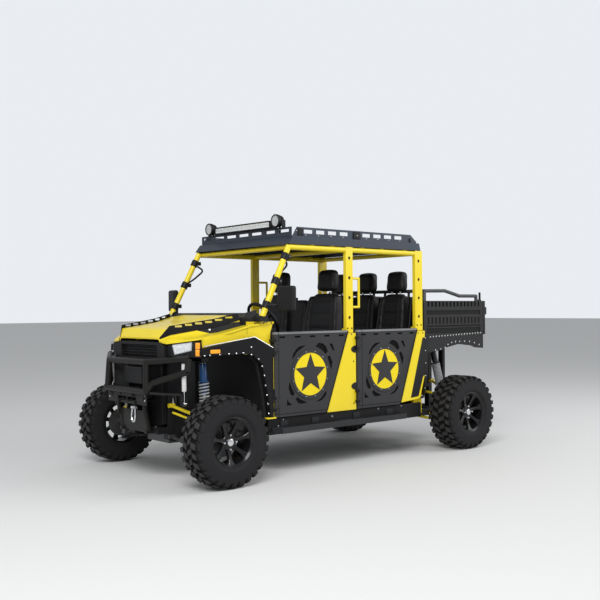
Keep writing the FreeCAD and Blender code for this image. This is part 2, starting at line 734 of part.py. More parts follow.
def bumper():
    """Angular tube guard with side wings, winch plate, tow hooks and skid plate."""
    r = 26
    leg_radius = 22
    x = bumper_front_x - r
    corner_y = 315
    wing_y = cab_half - wing_inset
    wing_x = x - 194
    low_x = x - 179
    top = [(wing_x, wing_y, 985), (x - 10, corner_y - 15, 955),
           (x - 10, 15 - corner_y, 955), (wing_x, -wing_y, 985)]
    low = [(low_x, wing_y, 888), (x - 40, corner_y + 30, 790), (x, corner_y, 722), (x, -corner_y, 722),
           (x - 40, -corner_y - 30, 790), (low_x, -wing_y, 888)]
    guard = bent_bar(top, r)
    pieces = [bent_bar(low, r)]
    front_edge = fascia_front_x + seat_gap
    knee_x = x - 58
    for side in (1, -1):
        pieces.append(rod((x - 10, side * (corner_y - 15), 955), (x, side * corner_y, 722), r))
        pieces.append(rod((wing_x, side * wing_y, 985), (low_x, side * wing_y, 888), r))
        leg_y = side * 200
        pieces.append(bent_bar([(x, side * (corner_y - 40), 722), (knee_x, leg_y, 560),
                                (front_edge + leg_radius, leg_y, horn_z[1] - 24)], leg_radius))
        hook_y = side * 130
        hook = rod((x - 20, hook_y, 600), (x + 10, hook_y, 600), 12)
        pieces.append(join([hook, block((x - 14, x + 6), (hook_y - 12, hook_y + 12), (520, 640))]))
        pieces.append(block((front_edge, knee_x), (leg_y - 20, leg_y + 20),
                            (horn_z[1] - 48, horn_z[1] - 22)))
    plate = block((x - 12, x - 4), (4 - corner_y, corner_y - 4), (614, 736))
    for y in (79, -79):
        plate = plate.cut(block((x - 20, x), (y - 71, y + 71), (634, 668)))
    low_z = horn_z[0] + 2
    skid = side_plate([(knee_x - 8, 560), (knee_x + 2, 560), (front_edge + 36, low_z + 18),
                       (front_edge, low_z), (front_edge, low_z + 10), (front_edge + 27, low_z + 25)],
                      (-180, 180))
    save("front_bumper", [guard.fuse(pieces + [plate, skid])])
    drum_x = x - 106
    drum = rod((drum_x, -100, 690), (drum_x, 100, 690), 42)
    ends = [block((drum_x - 46, drum_x + 50), (y - 40, y + 40), (640, 745)) for y in (-140, 140)]
    base = block((drum_x - 46, x - 14 - seat_gap), (-180, 180), (628, 642))
    relay = block((drum_x - 10, drum_x + 40), (-160, 130), (768, 905))
    stays = [block((drum_x - 10, drum_x + 10), (y - 14, y + 14), (744, 769)) for y in (-140, 112)]
    save("winch", [join([drum, base, relay] + ends + stays)])


def flares():
    """Bolted wheel-arch flares outside the front panels."""
    rear_x = door_front_x + 26
    top_z = cowl_top_z - 120
    arch_z = cowl_top_z - 253
    foot_z = door_bottom_z + 10
    arch = [(130, arch_z), (125, arch_z + 57), (-361, top_z), (rear_x, top_z - 94), (rear_x, foot_z),
            (rear_x + 29, foot_z), (rear_x + 58, foot_z + 184), (rear_x + 117, arch_z - 87),
            (rear_x + 218, arch_z - 2), (61, arch_z + 1)]
    flare = side_plate(arch, (cab_half - 20 + seat_gap, flare_outer_y))
    save("front_flares", both(flare))


# outlines of the hollows round a door's disc: steps forwards and upwards from the disc's centre
door_cuts = [
    [(201, 128), (189, 173), (156, 213), (118, 237), (46, 243), (102, 215), (146, 186), (175, 147)],
    [(-60, 232), (-100, 262), (-146, 254), (-180, 229), (-203, 184), (-180, 160), (-123, 205)],
    [(-219, 250), (-256, 249), (-282, 189), (-261, 192)],
    [(-195, 140), (-226, 148), (-257, 90), (-243, 18), (-219, 79)],
    [(-188, -156), (-179, -194), (-130, -233), (-61, -243), (-124, -210), (-165, -167)],
    [(227, -49), (207, -100), (173, -157), (192, -175), (219, -159), (240, -107)],
    [(144, -185), (106, -211), (34, -238), (106, -246), (139, -236), (162, -203)],
    [(254, -191), (236, -223), (201, -245), (258, -252)],
]


def star(centre, y):
    """Raised five-pointed star, one point up."""
    outline = []
    for k in range(10):
        radius = star_waist if k % 2 else star_radius
        turn = math.radians(90 + 36 * k)
        outline.append((centre[0] + radius * math.cos(turn), centre[1] + radius * math.sin(turn)))
    return side_plate(outline, y)


def doors():
    """Plate half doors with a round top rail, a ringed star disc and two hinge barrels."""
    face_y = door_outer_y
    skin = (face_y - cut_depth, face_y + 1)
    disc_z = (door_top_z + door_bottom_z) / 2 - 3
    # columns: name, front edge, rear edge at the top, its lean, place of the disc along the door, slots
    rows = [("front", door_front_x, b_pillar_x, 254, 0.465, 5),
            ("rear", rear_door_x, c_pillar_x, 235, 0.434, 5)]
    for name, front_x, back_x, lean, share, slots in rows:
        centre = (front_x + share * (back_x - front_x), disc_z)
        outline = [(front_x, door_bottom_z), (front_x, door_top_z), (back_x, door_top_z),
                   (back_x + lean, door_bottom_z)]
        plate = side_plate(outline, (face_y - door_thickness, face_y))
        cutters = []
        for cut in door_cuts:
            cutters.append(side_plate([(centre[0] + along, disc_z + up) for along, up in cut], skin))
        slot_length, slot_height = door_slot
        slot_z = (door_top_z - 34, door_top_z - 34 + slot_height)
        for k in range(slots):
            x = front_x + (back_x - front_x) * (k + 0.5) / slots
            cutters.append(block((x - slot_length / 2, x + slot_length / 2), skin, slot_z))
        plate = plate.cut(Part.makeCompound(cutters))
        rail = rod((front_x, face_y - 15, door_top_z), (back_x, face_y - 15, door_top_z), 17)
        disc = rod((centre[0], face_y - 1, disc_z), (centre[0], face_y + disc_height, disc_z), disc_radius)
        ring = rod((centre[0], face_y - 1, disc_z), (centre[0], face_y + 2 * disc_height, disc_z),
                   disc_radius + ring_width)
        hole = rod((centre[0], face_y, disc_z), (centre[0], face_y + 3 * disc_height, disc_z), disc_radius)
        emblem = star(centre, (face_y + disc_height - 1, face_y + 2 * disc_height))
        barrels = []
        for z in hinge_heights:
            barrels.append(rod((front_x, hinge_y, z - 35), (front_x, hinge_y, z + 35), hinge_radius))
            barrels.append(block((front_x, front_x - 40), (face_y - 1, hinge_y), (z - 35, z + 35)))
        door = join([plate, rail, ring.cut(hole), disc, emblem] + barrels)
        save("door_" + name + "_left", [door])
        save("door_" + name + "_right", [far(door)])


def side_panels():
    """Painted panels between the doors and behind them, with the fixed hinge barrels."""
    y = (cab_half + seat_gap - pillar_foot, door_outer_y - 8)
    top = door_top_z - 10
    low = door_bottom_z - 4
    behind = rear_door_x + door_gap + 3
    middle = side_plate([(b_pillar_x + 254 - door_gap, low), (b_pillar_x - door_gap, top), (behind, top),
                         (behind, low)], y)
    rear_x = c_pillar_x - c_pillar_depth
    rear = side_plate([(c_pillar_x + 226 - door_gap, low + 16), (c_pillar_x - door_gap - 3, top),
                       (rear_x, top), (rear_x + 10, low + 238), (rear_x + 75, low + 38)], y)
    save("side_panels", both(middle) + both(rear))
    back = rear_x - seat_gap
    splash = side_plate([(back, top - 40), (back - 60, top - 72), (back - 48, low + 238), (back, low + 40),
                         (rear_x + 75 + seat_gap, low + 30), (rear_x + 75 + seat_gap, low + 37),
                         (back, low + 70)], (cab_half - 4, cab_half + 8))
    flange = block((back, back - 8), (cab_half - pillar_width, cab_half - 3), (low + 60, top - 50))
    save("splash_panels", both(join([splash, flange])))
    pins = []
    rows = [(door_front_x, cab_half - 20 + seat_gap), (rear_door_x, door_outer_y - 8 + seat_gap)]
    for x, base_y in rows:
        for z in hinge_heights:
            for span in ((z - 60, z - 35 - seat_gap), (z + 35 + seat_gap, z + 60)):
                barrel = rod((x, hinge_y, span[0]), (x, hinge_y, span[1]), hinge_radius)
                foot = block((x + door_gap + 4, x + door_gap + 16), (base_y, hinge_y + 4), span)
                arm = block((x, x + door_gap + 16), (hinge_y - 4, hinge_y + 4), span)
                pins += both(join([barrel, arm, foot]))
    save("door_hinges", pins)


def steps():
    """Flat side steps under the doors, bolted to the rockers by short arms."""
    front, rear = door_front_x + 18, c_pillar_x + 205
    inner_y = step_y - step_width
    plan = [(front, inner_y), (front - 40, step_y), (rear + 45, step_y), (rear, step_y - 30),
            (rear, inner_y)]
    bottom_z, top_z = 350, 398
    corners = [V(x, y, bottom_z) for x, y in plan]
    board = Part.Face(Part.makePolygon(corners + corners[:1])).extrude(V(0, 0, top_z - bottom_z))
    arms = []
    rocker_y = cab_half - 10 + seat_gap
    for middle in (-700, -1040, -1530, -1950):
        x = (middle - 40, middle + 40)
        arms.append(block(x, (rocker_y, rocker_y + 8), (bottom_z + 5, top_z + 42)))
        arms.append(block(x, (rocker_y, inner_y + 1), (bottom_z + 5, top_z - 10)))
    save("side_steps", both(join([board] + arms)))


def seat(rest_x, y, width):
    """Bucket seat placed by its head rest: cushion and leaning back on one shell."""
    across = (y - width / 2, y + width / 2)
    low, top = seat_box_z + seat_gap, seat_box_z + seat_back_height
    cushion = block((rest_x + 650, rest_x + 130), across, (low, low + 120))
    back = side_plate([(rest_x + 200, low + 110), (rest_x + 75, low + 110), (rest_x - 30, top),
                       (rest_x + 70, top + 12)], across)
    rest_top = top + head_rest_height
    rest = side_plate([(rest_x + 62, top - 10), (rest_x - 28, top - 10), (rest_x - 48, rest_top - 6),
                       (rest_x + 42, rest_top)], (y - 120, y + 120))
    return join([cushion, back, rest])


def seats():
    front_width = 2 * (steering_y - console_half)
    rear_pitch = (cab_inner - 25) / 1.5
    save("front_seats", [seat(front_rest_x, y, front_width) for y in (-steering_y, steering_y)])
    rear_width = rear_pitch - seat_side_gap
    save("rear_seats", [seat(rear_rest_x, y, rear_width) for y in (-rear_pitch, 0, rear_pitch)])


def mirrors():
    """Rounded mirror heads on stalks from the lower pillar clamps."""
    x = cowl_rear_x
    head = block((x - 25, x + 25), (cab_half + 70, cab_half + 245), (mirror_z - 50, mirror_z + 155))
    head = head.makeFillet(20, head.Edges)
    head.rotate(V(x, cab_half + 157, mirror_z), V(0, 0, 1), mirror_toe)
    stalk = bent_bar([(x + 100, cab_half + 25.4, mirror_z), (x + 40, cab_half + 60, mirror_z),
                      (x + 10, cab_half + 100, mirror_z)], 9)
    save("mirrors", both(join([head, stalk])))


def steering():
    """Steering wheel on its column: ring, hub and three spokes."""
    axis = V(*column_axis)
    ring = Part.makeTorus(ring_radius, 15, V(0, 0, 0), V(0, 0, 1))
    hub = Part.makeCylinder(32, 40, V(0, 0, -24))
    spokes = []
    for angle in (0.5, math.pi - 0.5, -math.pi / 2):
        tip = (ring_radius * math.cos(angle), ring_radius * math.sin(angle), 0)
        spokes.append(rod((0, 0, 0), tip, 10))
    wheel = join([ring, hub] + spokes)
    centre = V(*column_end) + axis * (24 + seat_gap)
    wheel.Placement = FreeCAD.Placement(centre, FreeCAD.Rotation(V(0, 0, 1), axis))
    save("steering_wheel", [wheel])


# columns: lowest and highest edge of each long recess in a bed wall, above the bed's floor
bed_recesses = [(26, 79), (90, 105), (210, 252)]
slot_bands = [(121, 184, False), (289, 336, True)]


def bed_pattern(first, last, outside, inside, upright):
    """Cutters for the recesses and slots of one bed wall, along a run from first to last."""
    cutters = []
    skin = (outside, inside + (outside - inside) * (1 - cut_depth / bed_wall))
    for low, high in bed_recesses:
        cutters.append(upright((first, last), skin, (bed_floor_z + low, bed_floor_z + high)))
    pitch = (last - first) / bed_slot_count
    half = bed_slot_width / 2
    for low, high, through in slot_bands:
        for k in range(bed_slot_count):
            middle = first + pitch * (k + 0.5)
            depth = (outside, 2 * inside - outside) if through else skin
            slot_z = (bed_floor_z + low, bed_floor_z + high)
            cutters.append(upright((middle - half, middle + half), depth, slot_z))
    return Part.makeCompound(cutters)


def bed():
    """Tipping cargo bed: floor, patterned walls, skirts over the wheels, front hoop and side rails."""
    front, rear = bed_front_x, bed_rear_x
    wall_y = (bed_half - bed_wall, bed_half)
    wall_z = (bed_floor_z - 1, bed_side_top_z)
    floor = block((front, rear), (-bed_half, bed_half), (bed_floor_z - bed_sheet, bed_floor_z))
    head = block((front, front - bed_wall), (-bed_half, bed_half), wall_z)
    pattern = bed_pattern(front - 40, rear + 44, bed_half + 1, bed_half - bed_wall, block)
    side = block((front, rear), wall_y, wall_z).cut(pattern)
    low = bed_floor_z
    skirt = side_plate([(front, low), (front - 50, low - 156), (front - 255, low - 134),
                        (front - 330, low - 113), (front - 514, low - 84), (front - 734, low - 106),
                        (front - 798, low - 128), (rear, low - 136), (rear, low)], wall_y)
    y = bed_half - 18
    top = bed_rail_top_z - 18
    dip = top - 46
    posts = both(block((front, front - 36), (bed_half - 36, bed_half), (low, top)))
    rail = bent_bar([(front - 18, y, top), (front - 330, y, top + 4), (front - 550, y, dip),
                     (rear + 90, y, dip), (rear + 90, y, bed_side_top_z - 2)], 17)
    cross = rod((front - 18, -y, top), (front - 18, y, top), 17)
    bars = []
    for k in range(-3, 4):
        middle = k * (bed_half - 50) / 4
        bar_y = (middle - 15, middle + 15)
        bars.append(block((front - 14, front - 22), bar_y, (bed_side_top_z - 2, top - 12)))
    lugs = []
    for end in (1, -1):
        lug_y = (end * frame_half - hinge_lug_half, end * frame_half + hinge_lug_half)
        ends = [(bed_hinge_x, y_end, bed_hinge_z) for y_end in lug_y]
        lugs.append(block((bed_hinge_x - hinge_lug_radius, bed_hinge_x + hinge_lug_radius), lug_y,
                          (bed_hinge_z, low - bed_sheet + 1)))
        lugs.append(rod(ends[0], ends[1], hinge_lug_radius))
    pins = []
    for middle in (-gate_hinge_y, gate_hinge_y):
        span = (middle - 25, middle + 25)
        pin = [(gate_hinge_x, end, gate_hinge_z) for end in span]
        pins.append(rod(pin[0], pin[1], 7))
        pins.append(block((rear + 1, gate_hinge_x), span, (gate_hinge_z - 7, gate_hinge_z)))
    walls = [floor, head] + both(skirt) + both(side)
    save("cargo_bed", [join(walls + [cross] + posts + both(rail) + bars + lugs + pins)])


def gate():
    """Tailgate with the side walls' pattern, two latches and its hinge barrels."""
    front_x = bed_rear_x - moving_gap
    rear_x = front_x - panel
    plate = block((front_x, rear_x), (-bed_half, bed_half), (bed_floor_z + 4, bed_side_top_z))
    run = bed_half - 50
    plate = plate.cut(bed_pattern(-run, run, rear_x - 1, rear_x + bed_wall, lambda y, x, z: block(x, y, z)))
    latches = []
    for middle in (34 - bed_half, bed_half - 34):
        latches.append(block((rear_x + cut_depth + 1, rear_x - latch_reach), (middle - 30, middle + 30),
                             (bed_side_top_z - 141, bed_side_top_z - 64)))
    barrels = []
    for hinge in (-gate_hinge_y, gate_hinge_y):
        for end in (1, -1):
            middle = hinge + end * (50 + seat_gap)
            span = (middle - 25, middle + 25)
            pin = [(gate_hinge_x, reach, gate_hinge_z) for reach in span]
            barrels.append(rod(pin[0], pin[1], 7))
            barrels.append(block((gate_hinge_x - 6, gate_hinge_x + 6), span,
                                 (gate_hinge_z, bed_floor_z + 5)))
    save("tailgate", [join([plate] + latches + barrels)])


def handles():
    """Grab handles on the front and centre pillars."""
    x = b_pillar_x - b_pillar_plate - seat_gap
    y = cab_half - 30
    low, high = door_top_z + 220, door_top_z + 476
    bar = bent_bar([(x, y, low), (x - 100, y, low), (x - 100, y, high), (x, y, high)], 11)
    save("grab_handles", both(bar))


os.makedirs("parts", exist_ok=True)
wheels()
knuckles()
suspension()
frame()
floor_tub()
cage()
roof()
hood()
front_cowl()
dashboard()
fascia()
bumper()
flares()
doors()
side_panels()
steps()
seats()
mirrors()
steering()
bed()
gate()
handles()
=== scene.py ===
import bmesh
import bpy
import math
import numpy as np
from mathutils import Matrix, Vector
from mathutils.bvhtree import BVHTree
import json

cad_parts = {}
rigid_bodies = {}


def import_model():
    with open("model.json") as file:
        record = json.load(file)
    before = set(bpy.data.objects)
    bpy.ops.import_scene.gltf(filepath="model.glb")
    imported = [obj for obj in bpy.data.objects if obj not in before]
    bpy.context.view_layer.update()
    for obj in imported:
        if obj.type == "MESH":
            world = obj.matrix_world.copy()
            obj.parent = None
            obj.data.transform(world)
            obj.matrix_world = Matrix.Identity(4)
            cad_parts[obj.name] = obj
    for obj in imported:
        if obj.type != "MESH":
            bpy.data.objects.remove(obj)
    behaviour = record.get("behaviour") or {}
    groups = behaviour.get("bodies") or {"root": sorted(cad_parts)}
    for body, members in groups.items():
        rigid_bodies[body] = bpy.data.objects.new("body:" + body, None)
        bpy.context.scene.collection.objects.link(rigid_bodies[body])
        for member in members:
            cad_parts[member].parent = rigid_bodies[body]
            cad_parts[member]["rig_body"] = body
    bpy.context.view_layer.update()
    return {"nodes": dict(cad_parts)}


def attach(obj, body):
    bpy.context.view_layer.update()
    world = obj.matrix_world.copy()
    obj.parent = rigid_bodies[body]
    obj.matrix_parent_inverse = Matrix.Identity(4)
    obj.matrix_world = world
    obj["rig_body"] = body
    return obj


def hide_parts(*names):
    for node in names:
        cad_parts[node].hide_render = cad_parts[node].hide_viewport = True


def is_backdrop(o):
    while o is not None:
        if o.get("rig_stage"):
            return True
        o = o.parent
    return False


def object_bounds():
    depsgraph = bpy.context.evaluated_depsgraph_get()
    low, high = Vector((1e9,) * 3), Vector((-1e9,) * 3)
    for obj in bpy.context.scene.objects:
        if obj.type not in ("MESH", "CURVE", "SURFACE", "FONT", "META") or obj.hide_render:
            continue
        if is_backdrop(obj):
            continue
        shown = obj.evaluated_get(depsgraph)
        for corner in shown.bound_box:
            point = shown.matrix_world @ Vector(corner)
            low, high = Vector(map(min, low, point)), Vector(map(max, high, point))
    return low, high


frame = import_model()


# Studio: a plain pale floor under the tyres, an even pale sky and two large soft lamps. The
# camera stands at eye height off the left front corner, as the photograph's did.
class Shade:
    """A socket of a node tree. Sums and products written with shades add Math nodes."""

    def __init__(self, tree, socket=None):
        self.tree = tree
        self.socket = socket

    def node(self, kind, values=(), out=0, stops=(), **settings):
        """Adds a node: its settings first, then the numbers or links of its sockets."""
        made = self.tree.nodes.new("ShaderNode" + kind)
        for name, value in settings.items():
            setattr(made, name, value)
        for index, (place, colour) in enumerate(stops):
            ramp = made.color_ramp.elements
            stop = ramp[index] if index < 2 else ramp.new(place)
            stop.position = place
            stop.color = colour
        for name, value in dict(values).items():
            if isinstance(value, Shade):
                self.tree.links.new(value.socket, made.inputs[name])
            else:
                made.inputs[name].default_value = value
        return Shade(self.tree, made.outputs[out])

    def maths(self, operation, first, second=0.0):
        return self.node("Math", {0: first, 1: second}, operation=operation)

    def __add__(self, other):
        return self.maths("ADD", self, other)

    def __sub__(self, other):
        return self.maths("SUBTRACT", self, other)

    def __rsub__(self, other):
        return self.maths("SUBTRACT", other, self)

    def __mul__(self, other):
        return self.maths("MULTIPLY", self, other)

    def __gt__(self, other):
        return self.maths("GREATER_THAN", self, other)

    def __lt__(self, other):
        return self.maths("LESS_THAN", self, other)

    def __abs__(self):
        return self.maths("ABSOLUTE", self)

    __radd__ = __add__
    __rmul__ = __mul__


floor_height = 0.004
floor_colour = (0.66, 0.66, 0.65, 1)
floor_roughness = 0.9
floor_half = 90
floor_mesh = bpy.data.meshes.new("studio_floor")
square = ((-1, -1), (1, -1), (1, 1), (-1, 1))
floor_corners = [(x * floor_half, y * floor_half, floor_height) for x, y in square]
floor_mesh.from_pydata(floor_corners, [], [(0, 1, 2, 3)])
floor_paint = bpy.data.materials.new("studio_floor")
floor_paint.use_nodes = True
floor_shader = floor_paint.node_tree.nodes["Principled BSDF"]
floor_shader.inputs["Base Color"].default_value = floor_colour
floor_shader.inputs["Roughness"].default_value = floor_roughness
floor_mesh.materials.append(floor_paint)
studio_floor = bpy.data.objects.new("studio_floor", floor_mesh)
bpy.context.scene.collection.objects.link(studio_floor)
studio_floor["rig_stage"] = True

sky_colour = (0.93, 0.96, 1.0, 1)
sky_strength = 0.56
sky_seen_more = 0.32
sky = bpy.data.worlds.new("studio_sky")
bpy.context.scene.world = sky
sky.use_nodes = True
sky_tree = Shade(sky.node_tree)
seen = sky_tree.node("LightPath", out="Is Camera Ray") + sky_tree.node("LightPath", out="Is Transmission Ray")
sky_node = sky.node_tree.nodes["Background"]
sky_node.inputs["Color"].default_value = sky_colour
sky.node_tree.links.new((sky_strength + sky_seen_more * seen).socket, sky_node.inputs["Strength"])

# columns: name, place, what it points at, width, power in watts
for lamp_name, lamp_place, lamp_aim, lamp_size, lamp_power in (
    ("key_lamp", (6.5, 6.0, 7.5), (0.2, 0, 0.8), 5.0, 800),
    ("fill_lamp", (-6.0, 5.5, 5.0), (-0.5, 0, 0.8), 6.0, 330),
):
    lamp_data = bpy.data.lights.new(lamp_name, "AREA")
    lamp_data.size = lamp_size
    lamp_data.energy = lamp_power
    lamp = bpy.data.objects.new(lamp_name, lamp_data)
    lamp.location = lamp_place
    lamp.rotation_euler = (Vector(lamp_aim) - Vector(lamp_place)).to_track_quat("-Z", "Y").to_euler()
    bpy.context.scene.collection.objects.link(lamp)

camera_place = (5.3555, 6.292, 1.364)
heading, pitch, roll = (math.radians(a) for a in (-130.23, 0.61, -0.41))
ahead = Vector((math.cos(pitch) * math.cos(heading), math.cos(pitch) * math.sin(heading), math.sin(pitch)))
level_right = ahead.cross(Vector((0, 0, 1))).normalized()
level_up = level_right.cross(ahead)
right = level_right * math.cos(roll) + level_up * math.sin(roll)
up = level_up * math.cos(roll) - level_right * math.sin(roll)
focal_length = 52.1
camera_data = bpy.data.cameras.new("camera")
camera_data.sensor_width = 36
camera_data.lens = focal_length
camera_data.clip_end = 200
camera = bpy.data.objects.new("camera", camera_data)
camera.matrix_world = Matrix((right, up, -ahead)).transposed().to_4x4()
camera.location = camera_place
bpy.context.scene.collection.objects.link(camera)
bpy.context.scene.camera = camera
bpy.context.scene.view_settings.view_transform = "Standard"


# Ladder frame: welded rectangular steel rails, cross members and suspension towers, powder coated black. The
# radiator stands on its front horns between two black liners, partly inner fenders and partly dark sheets
# painted in as the shade in the gap between the radiator and the front wheels; the engine is slung between
# the rails, and the hitch tube closes the back.
front_axle = 1.4995


def finish(name, slot, colour, roughness, grain=700.0, relief=0.12, mottle=0.12, layers=None, sheen=0.25,
           **fixed):
    """A finish: its colour varies in soft patches, its gloss and relief with a fine grain.

    slot names the material slot of the pieces that wear it, but is not used. layers is a function of x, y and
    z in millimetres from the front axle that gives (mask, colour, roughness) rows, each laid over the ones
    before where its mask is 1. sheen is how strongly the bare surface reflects.
    """
    material = bpy.data.materials.new(name)
    material.use_nodes = True
    shader = material.node_tree.nodes["Principled BSDF"]
    start = Shade(material.node_tree)
    place = start.node("TexCoord", out="Object")
    patches = start.node("TexNoise", {"Vector": place, "Scale": 4.0, "Detail": 5.0})
    fine = start.node("TexNoise", {"Vector": place, "Scale": grain, "Detail": 2.0})
    tone = start.node("RGB")
    tone.socket.default_value = (*colour, 1)
    gloss = roughness
    if layers:
        x, y, z = (start.node("SeparateXYZ", {0: place}, out=k) * 1000 for k in range(3))
        for mask, other, other_gloss in layers(x - front_axle * 1000, y, z):
            tone = start.node("Mix", {0: mask, 6: tone, 7: (*other, 1)}, out=2, data_type="RGBA")
            gloss = mask * (other_gloss - gloss) + gloss
    bright = 1 + mottle * 2 * (patches - 0.5) + mottle * (fine - 0.5)
    tone = start.node("HueSaturation", {"Value": bright, "Color": tone})
    gloss = gloss + 0.12 * (patches - 0.5) + 0.1 * (fine - 0.5)
    bump = start.node("Bump", {"Strength": relief, "Distance": 0.0012, "Height": fine})
    for socket, shade in (("Base Color", tone), ("Roughness", gloss), ("Normal", bump)):
        material.node_tree.links.new(shade.socket, shader.inputs[socket])
    shader.inputs["Specular IOR Level"].default_value = sheen
    for socket, value in fixed.items():
        shader.inputs[socket.replace("_", " ").title()].default_value = value
    return material


def dressed(node, paint, edge=1.6, flat=1.0):
    """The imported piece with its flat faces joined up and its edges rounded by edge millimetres.

    Where a thin face throws a point of the rounding off the piece, the point goes back to it.
    """
    sharp_from, rounded_from, farthest = math.radians(28), math.radians(35), 1.2 * edge / 1000
    mesh = frame["nodes"][node].data.copy()
    mesh.name = node + "_finished"
    work = bmesh.new()
    work.from_mesh(mesh)
    bmesh.ops.remove_doubles(work, verts=work.verts, dist=1e-5)
    bmesh.ops.dissolve_limit(work, angle_limit=math.radians(flat), verts=work.verts, edges=work.edges)
    work.to_mesh(mesh)
    surface = BVHTree.FromBMesh(work)
    work.free()
    if "custom_normal" in mesh.attributes:
        mesh.attributes.remove(mesh.attributes["custom_normal"])
    mesh.polygons.foreach_set("use_smooth", [True] * len(mesh.polygons))
    mesh.set_sharp_from_angle(angle=sharp_from)
    mesh.materials.clear()
    mesh.materials.append(paint)
    made = bpy.data.objects.new(node + "_finished", mesh)
    bpy.context.scene.collection.objects.link(made)
    if edge:
        rounding = made.modifiers.new("rounded_edges", "BEVEL")
        rounding.width = edge / 1000
        rounding.segments = 2
        rounding.limit_method = "ANGLE"
        rounding.angle_limit = rounded_from
        rounding.use_clamp_overlap = False
        rounding.harden_normals = True
        state = bpy.context.evaluated_depsgraph_get()
        made.data = bpy.data.meshes.new_from_object(made.evaluated_get(state))
        made.modifiers.clear()
        for point in made.data.vertices:
            nearest, _, _, gap = surface.find_nearest(point.co)
            if gap > farthest:
                point.co = nearest
    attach(made, frame["nodes"][node]["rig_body"])
    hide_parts(node)


def piece(name, parts, paint, body="chassis", crease=32, stands_for=(), slot=None):
    """One finished piece from (points, faces) parts in millimetres from the front axle."""
    points = np.concatenate([p for p, _ in parts])
    starts = np.cumsum([0] + [len(p) for p, _ in parts])
    faces = [[i + start for i in face] for (_, f), start in zip(parts, starts) for face in f]
    mesh = bpy.data.meshes.new(name)
    mesh.from_pydata((points / 1000 + (front_axle, 0, 0)).tolist(), [], faces)
    work = bmesh.new()
    work.from_mesh(mesh)
    bmesh.ops.remove_doubles(work, verts=work.verts, dist=1e-6)
    bmesh.ops.recalc_face_normals(work, faces=work.faces)
    work.to_mesh(mesh)
    work.free()
    mesh.polygons.foreach_set("use_smooth", [True] * len(mesh.polygons))
    mesh.set_sharp_from_angle(angle=math.radians(crease))
    mesh.materials.append(paint)
    made = bpy.data.objects.new(name, mesh)
    bpy.context.scene.collection.objects.link(made)
    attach(made, body)
    if stands_for:
        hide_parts(*stands_for)
    return made


def pair(name, parts, paint, *rest, **settings):
    """One finished piece from the parts of the left side and their copies on the right side."""
    return piece(name, list(parts) + [(p * (1, -1, 1), f) for p, f in parts], paint, *rest, **settings)


def box(low, high, cut=2.0):
    """Box between two corners, its edges cut back.

    Corner k of the box, numbered by its sides as 4 x + 2 y + z, becomes the points 3 k, 3 k + 1
    and 3 k + 2, one on each of the faces that it lies on.
    """
    low, high = np.minimum(low, high).astype(float), np.maximum(low, high).astype(float)
    sign = np.array([(a, b, c) for a in (0, 1) for b in (0, 1) for c in (0, 1)])
    corner = low + sign * (high - low)
    inward = np.repeat((1 - 2 * sign) * cut, 3, 0)
    points = np.repeat(corner, 3, 0) + inward * (1 - np.tile(np.eye(3), (8, 1)))
    weight = (12, 6, 3)
    faces = [[3 * k, 3 * k + 1, 3 * k + 2] for k in range(8)]
    for axis in range(3):
        a, b = (axis + 1) % 3, (axis + 2) % 3
        ring = [u * weight[a] + v * weight[b] for u, v in ((0, 0), (1, 0), (1, 1), (0, 1))]
        faces.append([near + axis for near in ring])
        faces.append([near + weight[axis] + axis for near in ring])
        faces += [[near + a, near + b, near + weight[axis] + b, near + weight[axis] + a] for near in ring]
    return points, faces


def quads(rows, columns):
    """Faces of a grid of points counted row by row, each row closed into a ring."""
    a = np.arange(rows * columns).reshape(rows, columns)
    b = np.roll(a, -1, axis=1)
    return np.stack([a[:-1], b[:-1], b[1:], a[1:]], -1).reshape(-1, 4).tolist()


def turned(profile, centre, axis, count=24):
    """Profile of (distance along the axis, radius) pairs turned about the axis through a centre."""
    axis = np.asarray(axis, float) / np.linalg.norm(axis)
    side = np.cross(axis, (0, 0, 1) if abs(axis[2]) < 0.9 else (0, 1, 0))
    side /= np.linalg.norm(side)
    up = np.cross(axis, side)
    turn = np.linspace(0, 2 * np.pi, count, endpoint=False)[:, None]
    around = np.cos(turn) * side + np.sin(turn) * up
    along, radius = np.array(profile, float).T[:, :, None, None]
    points = np.asarray(centre, float) + along * axis + radius * around
    return points.reshape(-1, 3), quads(len(profile), count)


def fixed_by(places, radius, height, outward=(0, 1, 0), count=10):
    """Domed screw or rivet heads at the places, their flat backs on the surface."""
    dome = [(-1, 0), (-1, radius), (height * 0.35, radius), (height * 0.8, radius * 0.72), (height, 0)]
    return [turned(dome, place, outward, count) for place in places]


black_steel = finish("black_powder_coat", "black_steel", (0.009, 0.009, 0.010), 0.42, 900)
cast_metal = finish("cast_metal", "cast_metal", (0.13, 0.13, 0.135), 0.5, 500, 0.3, metallic=0.8)
matt_black = finish("matt_black_powder_coat", "black_steel", (0.007, 0.007, 0.008), 0.52, 900, 0.16, 0.1,
                    sheen=0.15)
satin_steel = finish("satin_steel", "grey_steel", (0.34, 0.35, 0.36), 0.36, 600, 0.05, 0.1, metallic=1.0)

dressed("frame_rails", black_steel, 2.5)
dressed("hitch_receiver", black_steel, 2.0)
rail_y, rail_top, horn_top = 220, 332, 428
frame_bolts = [(240, y, horn_top) for y in (-rail_y, rail_y)]
frame_bolts += [(x, y, rail_top) for x in (-225, -613, -1384, -2285, -2585) for y in (-rail_y, rail_y)]
piece("frame_bolts", fixed_by(frame_bolts, 11, 8, (0, 0, 1), 6), satin_steel)

pair("tower_guards", [box((-124, 262, 333), (124, 268, 559), 2)], black_steel)

